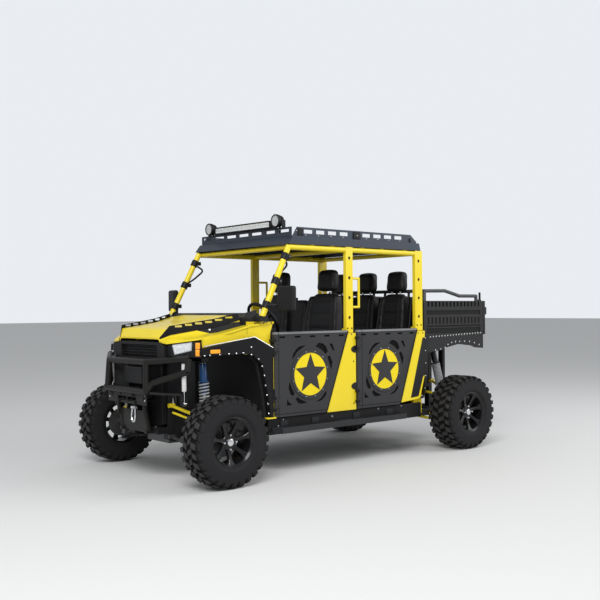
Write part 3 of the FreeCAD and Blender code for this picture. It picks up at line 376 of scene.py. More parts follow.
engine_low, engine_high, fin_inset = np.array((-2730, -200, 332.3)), np.array((-2460, 200, 880)), 14
engine_parts = [box(engine_low + (fin_inset, fin_inset, 0), engine_high - (fin_inset, fin_inset, 30), 6),
                box((-2700, -150, 850), (-2490, 150, 880), 12)]
for z in np.arange(360, 830, 24):
    engine_parts.append(box((*engine_low[:2], z), (*engine_high[:2], z + 7), 2))
plug_cap = [(0, 0), (0, 20), (9, 20), (9, 9), (16, 9), (16, 0)]
engine_parts += [turned(plug_cap, (-2595, y, 864), (0, 0, 1)) for y in (-110, -40, 40, 110)]
piece("engine_block_finned", engine_parts, cast_metal, stands_for=("engine_block",))
core_back, core_front, core_half, core_bottom, core_top = 182, 222, 290, 428.3, 948
radiator_parts = [box((core_back + 6, -core_half + 8, 434), (core_front - 8, core_half - 8, 942), 2)]
for s in (1, -1):
    radiator_parts.append(box((core_back, s * core_half, core_bottom), (core_front, s * 262, core_top), 4))
for z in (core_bottom, core_top - 28):
    radiator_parts.append(box((core_back, -core_half, z), (core_front, core_half, z + 28), 4))
for y in np.arange(-256, 257, 16):
    radiator_parts.append(box((212, y, 446), (core_front - 2, y + 3, 930), 0.8))
piece("radiator_core", radiator_parts, matt_black, stands_for=("radiator",), slot="cast_metal")
# black liners: partly inner fenders, partly dark sheets painted in as the shade between the radiator and the
# front wheels
dressed("front_liners", matt_black, 1)


# Axles: half shafts in ribbed rubber boots, cast uprights, and welded A-arms with thin round
# stays. The arms are painted to match the body, apart from the black lower front ones.
wheelbase, axle_height = 2830, 356


def along(points, radius, sides=10, closed=False):
    """Round bar: a circle carried along the points on the plane square to the path there."""
    points = np.asarray(points, float)
    tangent = np.roll(points, -1, 0) - np.roll(points, 1, 0) if closed else np.gradient(points, axis=0)
    tangent /= np.linalg.norm(tangent, axis=1)[:, None]
    normal = np.zeros_like(points)
    first = np.cross(tangent[0], (0, 0, 1) if abs(tangent[0][2]) < 0.9 else (0, 1, 0))
    normal[0] = first / np.linalg.norm(first)
    for k in range(1, len(points)):
        carried = normal[k - 1] - tangent[k] * (normal[k - 1] @ tangent[k])
        normal[k] = carried / np.linalg.norm(carried)
    other = np.cross(tangent, normal)
    turn = np.linspace(0, 2 * np.pi, sides, endpoint=False)[None, :, None]
    reach = np.broadcast_to(np.asarray(radius, float), (len(points),))[:, None, None]
    skin = points[:, None] + reach * (np.cos(turn) * normal[:, None] + np.sin(turn) * other[:, None])
    faces = quads(len(points), sides)
    if closed:
        last = (len(points) - 1) * sides
        faces += [[last + k, last + (k + 1) % sides, (k + 1) % sides, k] for k in range(sides)]
        return skin.reshape(-1, 3), faces
    faces += [list(range(sides))[::-1], list(range((len(points) - 1) * sides, len(points) * sides))]
    return skin.reshape(-1, 3), faces


def rubber_shade_dust_and_highlight(x, y, z):
    """Painted shade on the groove floors, and block tops paler with dust and a painted highlight, told apart
    by their distance from the axle.
    """
    groove_floor, block_top, tread_end = 328, 344, 360
    along_x, above = x + wheelbase * (x < -wheelbase / 2), z - axle_height
    reach = along_x * along_x + above * above
    outside = reach < tread_end ** 2
    # painted shade on the groove floors, then block tops paler with dust and painted highlight
    return [((reach > groove_floor ** 2) * outside, (0.004, 0.004, 0.004), 0.85),
            ((reach > block_top ** 2) * outside, (0.030, 0.029, 0.028), 0.6)]


tyre_rubber = finish("tyre_rubber", "tyre_rubber", (0.011, 0.011, 0.012), 0.74, 260, 0.25, 0.3, rubber_shade_dust_and_highlight)
yellow = (0.80, 0.62, 0.019)


def yellow_finish(name, layers=None):
    """The body's yellow paint under a thin clear coat, with the layers laid over it."""
    return finish(name, "yellow_paint", yellow, 0.3, 1100, 0.03, 0.07, layers, coat_weight=0.25,
                  coat_roughness=0.08)


def arm_layers(x, y, z):
    """Black below the upper arms."""
    return [(z < 440, (0.02, 0.02, 0.02), 0.45)]


arm_finish = finish("arm_paint", "yellow_paint", yellow, 0.34, 900, 0.05, 0.08, arm_layers, coat_weight=0.2)
yellow_paint = yellow_finish("yellow_paint")
dressed("front_arms", arm_finish, 0, 4)
dressed("rear_arms", yellow_paint, 0, 4)
dressed("half_shafts", cast_metal, 3)
for knuckle_node in ("knuckle_left", "knuckle_right", "rear_knuckles"):
    dressed(knuckle_node, cast_metal, 2)
arm_stays = [along([(s * 148, 326, 545), (s * 14, 690, 447)], 9, 10) for s in (1, -1)]
pair("front_arm_stays", arm_stays, yellow_paint)
boot = [(-112, 15)]
boot += [(-110 + 60 * s, 30 + 11 * s + (4 if k % 2 else -2)) for k, s in enumerate(np.linspace(0, 1, 13))]
boot.append((-48, 15))
boots = [turned(boot, (axle_x, 738, axle_height), (0, 1, 0)) for axle_x in (0, -wheelbase)]
pair("shaft_boots", boots, tyre_rubber, slot="black_plastic")


# Coil-over dampers: a ground steel rod in a painted tube, inside a grey wound spring held
# between two seats, with rubber-bushed eyes bolted to the arm and the tower. A slim white
# damper stands in front of each front spring.
def disc(start, end, radius, centre, axis, count=24):
    """Flat-ended cylinder from start to end along the axis through a centre."""
    return turned([(start, 0), (start, radius), (end, radius), (end, 0)], centre, axis, count)


bright_steel = finish("bright_plated_steel", "grey_steel", (0.72, 0.73, 0.74), 0.22, 300, 0.02, 0.06,
                      metallic=1.0)
grey_coil = finish("grey_coil_paint", "grey_steel", (0.30, 0.31, 0.32), 0.38, 500, 0.04, 0.08,
                   coat_weight=0.2)


def damper_layers(x, y, z):
    """Black tubes at the rear, blue ones in front."""
    return [(x < -wheelbase / 2, (0.02, 0.02, 0.022), 0.4)]


blue_tube = finish("damper_paint", "grey_steel", (0.012, 0.05, 0.14), 0.3, 800, 0.03, 0.08, damper_layers,
                   coat_weight=0.2)
# profiles: share of the way from the lower eye to the upper one, radius
lower_seat = [(0.13, 14), (0.13, 44), (0.145, 44), (0.15, 16), (0.13, 14)]
damper_tube = [(0.40, 0), (0.40, 26), (0.62, 27), (0.625, 43), (0.645, 43), (0.65, 29), (0.95, 29),
               (0.97, 24), (0.985, 0)]
bush = [(-16, 7), (-16, 15), (16, 15), (16, 7), (-16, 7)]
wire_radius, wound_radius, points_a_turn = 6.4, 37, 22
coils, damper_bodies, damper_rods = [], [], []
# columns: axle, place of the upper eye, turns of the spring
for axle_x, upper_eye, turns in ((0, (0, 535, 950), 8), (-wheelbase, (-2740, 525, 984.7), 16)):
    foot, head = np.array((axle_x, 567.3, 535.1)), np.array(upper_eye)
    run = head - foot
    reach = np.linalg.norm(run)
    axis = run / reach
    side = np.cross(axis, (1, 0, 0))
    side /= np.linalg.norm(side)
    wind = np.linspace(0, turns, turns * points_a_turn)[:, None]
    climb = reach * (0.15 + 0.48 * wind / turns)
    spin = 2 * np.pi * wind
    spring = foot + axis * climb + wound_radius * (np.cos(spin) * (1, 0, 0) + np.sin(spin) * side)
    coils.append(along(spring, wire_radius, 8))
    damper_rods.append(turned([(20, 0), (20, 9), (reach * 0.5, 9), (reach * 0.5, 0)], foot, axis))
    damper_rods.append(turned(np.array(lower_seat) * (reach, 1), foot, axis))
    damper_bodies.append(turned(np.array(damper_tube) * (reach, 1), foot, axis))
    for eye in (foot + axis * 14, head - axis * 12):
        damper_rods.append(turned(bush, eye, (1, 0, 0)))
        damper_rods.append(disc(-24, 24, 8, eye, (1, 0, 0), 8))
pair("coil_springs", coils, grey_coil, stands_for=("shocks",))
pair("damper_tubes", damper_bodies, blue_tube)
pair("damper_rods", damper_rods, bright_steel)
white_paint = finish("white_damper_paint", "grey_steel", (0.62, 0.62, 0.60), 0.35, 700, 0.03, 0.06)
slim_top, slim_foot = np.array((202, 575, 966)), np.array((198, 575, 634))
slim_run = slim_top - slim_foot
slim_tube = [(100, 0), (100, 17), (106, 18.5), (310, 18.5), (316, 16), (318, 0)]
pair("slim_dampers", [turned(slim_tube, slim_foot, slim_run)], white_paint)
slim_rod = [along([slim_foot, slim_foot + slim_run * 0.5], 6, 12)]
slim_bush = [(-14, 6), (-14, 13), (14, 13), (14, 6), (-14, 6)]
slim_rod += [turned(slim_bush, end, (1, 0, 0)) for end in (slim_foot, slim_top)]
pair("slim_damper_rods", slim_rod, bright_steel)
slim_stay = [box((184, 560, 955), (190, 590, 999), 2), box((214, 560, 955), (220, 590, 999), 2)]
slim_stay += [along([end + (-20, 0, 0), end + (20, 0, 0)], 6, 8) for end in (slim_top, slim_foot)]
slim_stay += [box((x, 548, 624), (x + 6, 588, 716), 2) for x in (177, 213)]
pair("slim_damper_stays", slim_stay, black_steel)


# Tyres: moulded rubber with two rows of chunky blocks each side of the crown, the outer row
# wrapping down the shoulder, on smooth side walls with moulded rings.
crown_radius = 352
blocks_a_row = 14


def carcass(half):
    """Tyre body and inside: the section's (place across, radius) pairs turned about the axle.

    half is half the tyre's width.
    """
    wall = [(half - 26, 181), (half - 14, 192), (half - 5, 212), (half - 3, 216), (half - 1.5, 217),
            (half - 1, 222), (half - 0.5, 250), (half - 2, 274), (half - 4, 290), (half - 2.5, 292),
            (half - 3.5, 297), (half - 8, 308), (half - 18, 322), (half - 36, 331), (half - 70, 334)]
    section = wall + [(-y, r) for y, r in wall[::-1]]
    section += [(-half + 34, 181), (half - 34, 181), wall[0]]
    return turned(section, (0, 0, 0), (0, 1, 0), 96)


def blocks(stations, count, length, start):
    """Tread blocks: a six-sided section carried across the tyre through the stations.

    A station is (place across, base radius, top radius, turn in degrees); the section is a trapezoid
    round the wheel with a small chamfer along both top edges.
    """
    across, base, top, lean = np.array(stations, float).T[:, None, :, None]
    middle = np.radians(start + np.arange(count) * 360 / count)[:, None, None] + np.radians(lean)
    share = np.array((-0.62, -0.5, -0.38, 0.38, 0.5, 0.62))
    height = np.array((0, 0.84, 1, 1, 0.84, 0))
    radius = base + (top - base) * height
    angle = middle + share * length / crown_radius
    points = np.stack([radius * np.cos(angle), across + 0 * angle, radius * np.sin(angle)], -1)
    rows = len(stations)
    ring = quads(rows, 6) + [[5, 4, 3, 2, 1, 0], [(rows - 1) * 6 + k for k in range(6)]]
    one = points.reshape(count, -1, 3)
    return [(one[k], ring) for k in range(count)]


def tread(half):
    """Shoulder and inner blocks of both sides, the right side a quarter pitch behind the left.

    Long and short shoulder blocks take turns, each followed by an inner block.
    """
    pitch = 360 / blocks_a_row
    parts = []
    for side, start in ((1, 0.0), (-1, pitch / 4)):
        for k, inner in ((0, 68), (1, 56)):
            shoulder = [(half - 2.6, 296, 302, -1.2), (half - 2.4, 308, 320, -1.0),
                        (half - 9, 320, 338, -0.6), (half - 22, 327, 349, 0.2), (half - 36, 330, 351.8, 1.0),
                        (half - inner, 332, crown_radius, 2.2)]
            inner_row = [(half - inner - 9, 332, crown_radius, 8.2),
                         ((half - inner) * 0.45, 332, crown_radius, 6.2), (7, 332, crown_radius, 4.6)]
            for row, length in ((shoulder, 44 - 6 * k), (inner_row, 40)):
                placed = [(side * y, low, high, turn) for y, low, high, turn in row]
                parts += blocks(placed, blocks_a_row, length, start + k * pitch / 2)
    return parts


def rim_parts(width):
    """Lipped barrel and tapered spokes on a hub, outer face of the tyre at Y = 0."""
    spokes = 7
    inner = -width + 12
    barrel = [(-12, 190), (-13.5, 194), (-18, 194), (-20.5, 190), (-27, 177), (-60, 175), (-width + 60, 175),
              (-width + 27, 177), (inner + 8, 194), (inner, 194), (inner, 188), (-width + 34, 170),
              (-width + 60, 167), (-60, 167), (-26, 170), (-17, 180), (-12, 185), (-12, 190)]
    parts = [turned(barrel, (0, 0, 0), (0, 1, 0), 84)]
    hub = [(-98, 0), (-98, 62), (-74, 66), (-66, 62), (-62, 56), (-62, 36), (-60, 0)]
    parts.append(turned(hub, (0, 0, 0), (0, 1, 0), 42))
    # columns: radius, half width in front, half width behind, front face, back face
    steps = np.array([(52, 17, 24, -64, -92), (80, 12, 19, -60, -88), (110, 11, 17, -52, -78),
                      (140, 14, 20, -42, -66), (160, 22, 27, -34, -60), (171, 30, 33, -30, -58)], float)
    for k in range(spokes):
        turn = 2 * np.pi * (k + 0.25) / spokes
        out = np.array((math.cos(turn), 0, math.sin(turn)))
        sideways = np.array((-math.sin(turn), 0, math.cos(turn)))
        radius, front, back, face, rear = steps.T[:, :, None]
        ring = [(-back, rear), (-front - 3, face - 4), (-front + 2, face), (front - 2, face),
                (front + 3, face - 4), (back, rear)]
        points = np.stack([radius * out + w * sideways + d * np.array((0, 1, 0)) for w, d in ring], 1)
        faces = quads(len(steps), 6) + [[0, 1, 2, 3, 4, 5], [len(steps) * 6 - 1 - j for j in range(6)]]
        parts.append((points.reshape(-1, 3), faces))
    return parts


rim_black = finish("rim_gloss_black", "rim_black", (0.007, 0.007, 0.008), 0.26, 400, 0.02, 0.1,
                   coat_weight=0.15)
tyre_face = 957
cap = [(-61, 0), (-61, 31), (-54, 31), (-47, 27), (-44, 18), (-43, 0)]
nut = [(-2, 0), (-2, 9.5), (9, 9.5), (14, 7), (16, 0)]
studs = [(55 * math.cos(a), -60, 55 * math.sin(a)) for a in np.radians((0, 90, 180, 270))]
hub_cap = [turned(cap, (0, 0, 0), (0, 1, 0), 32)] + [turned(nut, s, (0, 1, 0), 6) for s in studs]
lip_places = [(186.5 * math.cos(a), -14, 186.5 * math.sin(a))
              for a in np.radians(np.arange(0, 360, 360 / 14))]
rim_bolts = fixed_by(lip_places, 4, 2.5, count=8)
for axle_name, axle_x, width in (("front", 0, 235), ("rear", -wheelbase, 275)):
    tyre_parts = [carcass(width / 2)] + tread(width / 2)
    for side_name, side in (("left", 1), ("right", -1)):
        corner = axle_name + "_" + side_name
        hub_place = np.array((axle_x, tyre_face * side, axle_height))
        # columns: piece, parts, how far their middle lies inside the tyre's face, finish, CAD node
        for suffix, parts, drop, paint, nodes in (
            ("tyre", tyre_parts, width / 2, tyre_rubber, ("tyre_" + corner,)),
            ("rim", rim_parts(width), 0, rim_black, ("rim_" + corner,)),
            ("hub_cap", hub_cap, 0, bright_steel, ()),
            ("rim_bolts", rim_bolts, 0, rim_black, ()),
        ):
            placed = [((p - (0, drop, 0)) * (1, side, 1) + hub_place, f) for p, f in parts]
            piece(suffix + "_" + corner + "_moulded", placed, paint, "wheel_" + corner, 30, nodes)


# Floor tub: pressed floor, firewall, bulkhead, rockers and seat boxes of the open cab, in
# grained black plastic over steel, held to the frame by plated bolts along each rocker.
black_plastic = finish("grained_black_plastic", "black_plastic", (0.009, 0.009, 0.010), 0.5, 420, 0.35, 0.15)
dressed("floor_tub", black_plastic, 5)
cab_side = 690
rocker_bolts = [(x, cab_side, z)
                for x, z in ((-689, 450), (-640, 400), (-1240, 430), (-1807, 452), (-2111, 455))]
pair("rocker_bolts", fixed_by(rocker_bolts, 9, 6), satin_steel)
mat_half, mat_bottom, mat_top, mat_pitch = 130, 361, 367, 24
mat_parts = []
for first, last in ((-560, -860), (-1420, -1740)):
    for y in (-500, -180, 180, 500):
        mat_parts.append(box((first, y - mat_half, mat_bottom), (last, y + mat_half, mat_top), 2))
        for x in np.arange(first - 18, last, -mat_pitch):
            mat_parts.append(box((x, y - 118, mat_top - 1), (x - 9, y + 118, mat_top + 3), 1.5))
piece("floor_mats", mat_parts, tyre_rubber, slot="black_plastic")


# Seats: five bucket seats of black vinyl over moulded foam, each a crowned cushion, a bolstered
# back and a head rest on two steel posts, in a hard shell bolted to the seat box. A padded back
# closes the space between the two front ones.
def softened(low, high, round_off=0.3, count=28):
    """Cushion form: a superellipsoid, cos and sin each raised to a small power, filling the box."""
    low, high = np.array(low, float), np.array(high, float)
    u = np.linspace(-np.pi / 2, np.pi / 2, count)[:, None]
    v = np.linspace(-np.pi, np.pi, 2 * count, endpoint=False)[None, :]

    def power(value):
        return np.sign(value) * np.abs(value) ** round_off

    unit = np.stack([power(np.cos(u)) * power(np.cos(v)), power(np.cos(u)) * power(np.sin(v)),
                     power(np.sin(u)) + 0 * v], -1)
    return ((low + high) / 2 + unit * (high - low) / 2).reshape(-1, 3), quads(count, 2 * count)


def leaning(part, shift_per_mm, from_z, narrow=0.0, height=1.0):
    """The part pushed back as it rises, its width drawn in with the cube of its height."""
    points, faces = part
    points = points.copy()
    rise = points[:, 2] - from_z
    points[:, 0] += shift_per_mm * rise
    points[:, 1] *= 1 - narrow * np.clip(rise / height, 0, 1) ** 3
    return points, faces


seat_vinyl = finish("seat_vinyl", "seat_vinyl", (0.008, 0.008, 0.009), 0.46, 330, 0.5, 0.12)


def stuffed(name, parts, swell):
    """Padded piece: one skin over the parts, blown up by a cloth simulation, moved at most swell."""
    skin_step, pressure, last_frame = 0.013, 4, 20
    made = piece(name, parts, seat_vinyl)
    skin = made.modifiers.new("skin", "REMESH")
    skin.mode = "VOXEL"
    skin.voxel_size = skin_step
    made.data = bpy.data.meshes.new_from_object(made.evaluated_get(bpy.context.evaluated_depsgraph_get()))
    made.modifiers.clear()
    mesh = made.data
    before = np.zeros(len(mesh.vertices) * 3)
    mesh.vertices.foreach_get("co", before)
    air = made.modifiers.new("air", "CLOTH")
    air.settings.use_pressure = True
    air.settings.uniform_pressure_force = pressure
    air.settings.effector_weights.gravity = 0
    air.point_cache.frame_start = 1
    air.point_cache.frame_end = last_frame
    for step in range(1, last_frame + 1):
        bpy.context.scene.frame_set(step)
    blown = made.evaluated_get(bpy.context.evaluated_depsgraph_get()).to_mesh()
    after = np.zeros(len(blown.vertices) * 3)
    blown.vertices.foreach_get("co", after)
    moved = (after - before).reshape(-1, 3)
    length = np.linalg.norm(moved, axis=1)[:, None]
    moved *= np.minimum(1, swell / np.maximum(length, 1e-9))
    made.evaluated_get(bpy.context.evaluated_depsgraph_get()).to_mesh_clear()
    made.modifiers.clear()
    bpy.context.scene.frame_set(1)
    mesh.vertices.foreach_set("co", before + moved.ravel())
    mesh.update()
    mesh.polygons.foreach_set("use_smooth", [True] * len(mesh.polygons))
    return made


def padded(made):
    rounding = made.modifiers.new("smooth_skin", "SUBSURF")
    rounding.levels = 1
    rounding.render_levels = 1


shell_bottom, seat_top, back_foot, rest_foot = 700, 800, 806, 1530
back_lean, rest_lean = -0.150, -0.088
# columns: row, place of the head rests, width, places across, the node that the shells stand for
for row, rest_x, width, places, node in (
    ("front", -1519.4, 480, (-345, 345), "front_seats"),
    ("rear", -2372, 395, (-410, 0, 410), "rear_seats"),
):
    half = width / 2 - 6
    cushion = [softened((rest_x + 136, -half + 60, shell_bottom), (rest_x + 640, half - 60, 808), 0.28)]
    for near, far in ((half - 62, half), (-half, -half + 62)):
        cushion.append(softened((rest_x + 136, near, shell_bottom), (rest_x + 636, far, 816), 0.34))
    middle = softened((rest_x + 84, -half + 56, back_foot), (rest_x + 168, half - 56, 1512), 0.22, 36)
    back = [leaning(middle, back_lean, seat_top, 0.12, 700)]
    for near, far in ((half - 70, half), (-half, -half + 70)):
        bolster = softened((rest_x + 88, near, back_foot), (rest_x + 192, far, 1490), 0.3, 36)
        back.append(leaning(bolster, back_lean, seat_top, 0.18, 700))
    for z in (930, 1060, 1190, 1320):
        rib = softened((rest_x + 110, -half + 80, z), (rest_x + 174, half - 80, z + 118), 0.3)
        back.append(leaning(rib, back_lean, seat_top, 0.12, 700))
    head_rest = softened((rest_x - 32, -116, rest_foot), (rest_x + 56, 116, 1724), 0.34)
    head_rest = leaning(head_rest, rest_lean, rest_foot, 0.14, 194)
    # columns: name, parts, how far the skin may swell, places across
    soft_parts = [("cushion", cushion, 0.007, places), ("back", back, 0.006, places),
                  ("head_rest", [head_rest], 0.004, places)]
    if row == "front":
        middle_back = softened((rest_x + 92, -100, 706), (rest_x + 158, 100, 1455), 0.26, 30)
        soft_parts.append(("middle_back", [leaning(middle_back, back_lean, seat_top)], 0.004, (0,)))
    for part_name, parts, swell, spots in soft_parts:
        name = "seat_" + part_name + "_" + row + "_"
        first = stuffed(name + "1", parts, swell)
        first.data.transform(Matrix.Translation((0, spots[0] / 1000, 0)))
        alike = [first]
        for number, y in enumerate(spots[1:], 2):
            made = bpy.data.objects.new(name + str(number), first.data.copy())
            made.data.transform(Matrix.Translation((0, (y - spots[0]) / 1000, 0)))
            bpy.context.scene.collection.objects.link(made)
            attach(made, "chassis")
            alike.append(made)
        for made in alike:
            padded(made)
    shells, posts = [], []
    for y in places:
        shell = box((rest_x + 60, y - half + 20, shell_bottom), (rest_x + 84, y + half - 20, 1476), 6)
        shells.append(leaning(shell, back_lean, seat_top))
        shells.append(box((rest_x + 70, y - half + 10, 690.5), (rest_x + 630, y + half - 10, 706), 5))
        for side_y in (y + 55, y - 55):
            posts.append(along([(rest_x + 22, side_y, 1480), (rest_x + 14, side_y, 1560)], 6.5, 12))
    piece("seat_shells_" + row, shells, black_plastic, stands_for=(node,))
    piece("head_rest_posts_" + row, posts, bright_steel)


# Cage: a round front hoop and roof tubes welded to two flat-faced steel pillars on each side,
# painted yellow, with black rubber plugs in the pillar holes and clamps round the front posts.
def bent(corners, bend=40.0, steps=6):
    """Path through the corners, each one rounded by a curve that starts bend millimetres before it."""
    corners = np.asarray(corners, float)
    path = [corners[0]]
    for before, corner, after in zip(corners, corners[1:], corners[2:]):
        enter, leave = before - corner, after - corner
        enter *= min(bend / np.linalg.norm(enter), 0.48)
        leave *= min(bend / np.linalg.norm(leave), 0.48)
        for s in np.linspace(0, 1, steps + 1):
            path.append(corner + enter * (1 - s) ** 2 + leave * s ** 2)
    return path + [corners[-1]]


def cage_layers(x, y, z):
    """Black feet on the front posts."""
    return [((x > -520) * (z < 1309), (0.009, 0.009, 0.010), 0.5)]


cage_paint = yellow_finish("cage_paint", cage_layers)
for cage_node, paint in (("cage_left", cage_paint), ("cage_right", cage_paint), ("cage_cross", yellow_paint)):
    dressed(cage_node, paint, 1)
post_foot, post_head = np.array((-470, 699, 1304)), np.array((-771, 675, 1888.7))
post_run = post_head - post_foot
clamp_places = [post_foot + post_run * share for share in (0.16, 0.5, 0.855)]
collar = [(-31, 23), (-31, 29), (-27, 32.5), (-4, 33.5), (-3, 32), (3, 32), (4, 33.5), (27, 32.5), (31, 29),
          (31, 23), (-31, 23)]
clamps, clamp_bolts = [], []
for middle in clamp_places:
    clamps.append(turned(collar, middle, post_run, 32))
    clamps.append(box(middle + (-66, -14, -16), middle + (-30, 10, 20), 4))
    clamp_bolts += fixed_by([middle + (-48, 10, 2)], 6, 5, count=6)
pair("front_post_clamps", clamps, black_plastic)
pair("front_post_clamp_bolts", clamp_bolts, satin_steel)
low, high = clamp_places[1:]
grip = bent([low + (-20, -20, 20), low + (-74, -48, 58), high + (-72, -48, -66), high + (-18, -20, -26)], 40)
pair("front_post_grips", [along(grip, 8.5, 12)], black_plastic)
plug_rubber = finish("plug_rubber", "black_plastic", (0.050, 0.032, 0.010), 0.6, 500, 0.1, 0.2)
plug = [(0, 0), (0, 14.6), (3, 14.6), (4, 12), (2, 8), (1.5, 0)]
plug_places = [(x, 692.2, z) for x in (-1450.4, -2360) for z in (1815, 1639, 1463, 1287)]
pair("pillar_plugs", [turned(plug, place, (0, 1, 0), 20) for place in plug_places], plug_rubber)
pillar_bolts = [(-1426, 700, 1192), (-1475, 700, 1192), (-2332, 700, 1206), (-2389, 700, 1206)]
pair("pillar_bolts", fixed_by(pillar_bolts, 8, 4), black_steel)
tabs = []
for x in (-1000, -1230, -1600, -1850, -2150):
    tabs.append(box((x, 652, 1910), (x - 46, 692, 1917), 2))
    tabs += fixed_by([(x - 23, 693.5, 1905)], 7, 5, count=6)
pair("roof_tabs", tabs, yellow_paint)


# Roof: a folded sheet pan in slate powder coat with pressed ribs, and slotted rails bolted
# along its sides and across its front as a low rack.
slate = finish("slate_powder_coat", "slate_steel", (0.036, 0.045, 0.062), 0.36, 950, 0.08, 0.1, metallic=0.25)
dressed("roof_pan", slate, 2.5)
dressed("roof_rails", slate, 1.2)
ribs = [box((-860, y - 45, 1980), (-2320, y + 45, 1990), 5) for y in (-520, -260, 0, 260, 520)]
piece("roof_ribs", ribs, slate)
rack_clamps = [box((-1518, 668, 1988), (-1602, 692, 2052), 4),
               box((-2248, 668, 1990), (-2272, 688, 2030), 4),
               box((-872, 668, 1990), (-930, 690, 2050), 4)]
pair("rack_clamps", rack_clamps, black_plastic)
rack_bolts = [(x, 680, 1996) for x in np.arange(-960, -2260, -145)]
rack_bolts += [(-860, 680, 2030), (-1560, 692, 2020)]
pair("rack_bolts", fixed_by(rack_bolts, 6, 4), satin_steel)


# Lamp bar and spot lamps: black finned castings with rows of bright reflector cups behind clear
# covers, on short feet bolted to the front of the rack.
clear_lens = finish("clear_lens", "lamp_plastic", (0.9, 0.93, 0.95), 0.06, 200, 0.0, 0.02, alpha=0.22,
                    coat_weight=0.6)
reflector = finish("bright_reflector", "lamp_plastic", (0.86, 0.87, 0.88), 0.14, 200, 0.02, 0.04,
                   metallic=0.85)
spot_bowl = finish("spot_bowl", "lamp_plastic", (0.40, 0.41, 0.42), 0.2, 200, 0.02, 0.04, metallic=0.85)
led_white = finish("led_cell", "lamp_plastic", (0.90, 0.91, 0.88), 0.35, 900, 0.05, 0.05)
bar_x, bar_z, bar_half, bar_rise, border = -845, 2098, 415, 33, 11
feet_front, roof_top = -818, 1984.5


def across_bar(first, last, inset, low, high, cut):
    """Box along the lamp bar from first to last in front of its back, inset from both its ends."""
    return box((bar_x + first, -bar_half + inset, low), (bar_x + last, bar_half - inset, high), cut)


bar_parts = [across_bar(0, 48, 10, bar_z - bar_rise, bar_z + bar_rise, 5)]
bar_parts += [across_bar(0, 40, 14, z, z + 4, 1) for z in np.arange(bar_z - 28, bar_z + 27, 9)]
bar_parts += [across_bar(46, 68, 10, z, z + border, 2) for z in (bar_z - bar_rise, bar_z + bar_rise - border)]
for s in (1, -1):
    bar_parts.append(box((bar_x, s * bar_half, bar_z - bar_rise),
                         (bar_x + 70, s * (bar_half - 12), bar_z + bar_rise), 5))
    bar_parts.append(box((feet_front, s * 300 - 15, roof_top), (-826, s * 300 + 15, bar_z - 20), 2))
    bar_parts.append(box((-812, s * 300 - 22, roof_top), (-846, s * 300 + 22, 1990), 2))
piece("lamp_bar_body", bar_parts, black_plastic, stands_for=("roof_lights",), slot="lamp_plastic")
cup = [(0, 0), (1, 3), (9, 11.4), (9, 12.4), (-1, 12.4), (-1, 0)]
cups = [turned(cup, (bar_x + 50, y, z), (1, 0, 0), 8)
        for z in (bar_z - 13, bar_z + 13) for y in np.linspace(-bar_half + 24, bar_half - 24, 34)]
piece("lamp_bar_cups", cups, reflector)
piece("lamp_bar_backing", [across_bar(47, 51.5, 12, bar_z - 27, bar_z + 27, 1)], led_white)
piece("lamp_bar_cover", [across_bar(62, 65, 12, bar_z - 26, bar_z + 26, 1)], clear_lens)
pod_shell = [(0, 0), (0, 22), (4, 30), (12, 34)]
for k in range(5):
    fin_x, root, tip = 14 + 7 * k, 36 + 2.5 * k, 44 + 2.2 * k
    pod_shell += [(fin_x, root), (fin_x, tip), (fin_x + 4, tip), (fin_x + 4, root + 1)]
pod_shell += [(54, 56), (80, 56.8), (84, 54), (85, 50), (76, 47), (60, 45), (58, 0)]
bowl = [(59, 0), (59.5, 8), (62, 14), (66, 24), (71, 33), (76, 39), (77, 44), (57, 44), (57, 0)]
pod_bodies, pod_bowls, pod_covers = [], [], []
for y in (-500, 500):
    pod_centre = (-850, y, 2121.3)
    pod_bodies.append(turned(pod_shell, pod_centre, (1, 0, 0), 40))
    pod_bodies.append(box((feet_front, y - 14, roof_top), (-826, y + 14, 2075), 2))
    for s in (1, -1):
        pod_bodies.append(box((-842, y + s * 50, 2060), (-800, y + s * 56, 2128), 2))
    pod_bodies.append(box((-842, y - 56, 2054), (-800, y + 56, 2061), 2))
    pod_bowls.append(turned(bowl, pod_centre, (1, 0, 0), 36))
    pod_bowls.append(turned([(58, 0), (58, 7), (74, 6), (77, 0)], pod_centre, (1, 0, 0), 16))
    pod_covers.append(turned([(78, 0), (78, 46), (80, 46), (83, 28), (84, 0)], pod_centre, (1, 0, 0), 36))
piece("spot_lamp_bodies", pod_bodies, black_plastic, slot="lamp_plastic")
piece("spot_lamp_bowls", pod_bowls, spot_bowl)
piece("spot_lamp_covers", pod_covers, clear_lens)
feet_bolts = [(feet_front + 1, y, z) for y in (-500, -300, 300, 500) for z in (2004, 2044)]
piece("lamp_feet_bolts", fixed_by(feet_bolts, 6, 4, (1, 0, 0), 6), satin_steel)


# Cowl: painted fender tops and side panels, with a black moulded cowl under the windscreen
# opening between them, screwed along their top edges.
def cowl_layers(x, y, z):
    """Black middle, crest and wheel arch; the arch ends along two sloping folds."""
    black, gloss = (0.02, 0.02, 0.022), 0.5
    middle = (x < -345) * (abs(y) < 571)
    crest = (x < -401) * (x > -541) * (abs(y) < 640.6) * (z > 1265)
    front_slope = z + 0.156 * x < 1081
    rear_slope = z - 0.492 * x < 1316
    arch = (x > -553) * front_slope * rear_slope
    return [(middle, black, gloss), (crest, black, gloss), (arch, black, gloss)]


dressed("front_cowl", yellow_finish("cowl_paint", cowl_layers), 3)
cowl_screws = [(x, cab_side, 1254) for x in (-402, -494, -572)]
pair("cowl_screws", fixed_by(cowl_screws, 7, 4), black_steel)
pair("cowl_seams", [box((-330, 680, 1166), (-333, 680.8, 1236), 0.2)], black_plastic)


# Instrument panel: one black moulding with a hooded gauge, screen, vents, switches and a grab
# bar, and the padded three-spoke steering wheel on its column.
def lofted(rings):
    """Closed rings of points, one for each station, skinned one to the next and closed at both ends."""
    rings = np.asarray(rings, float)
    rows, columns = rings.shape[:2]
    caps = [list(range(columns))[::-1], list(range((rows - 1) * columns, rows * columns))]
    return rings.reshape(-1, 3), quads(rows, columns) + caps


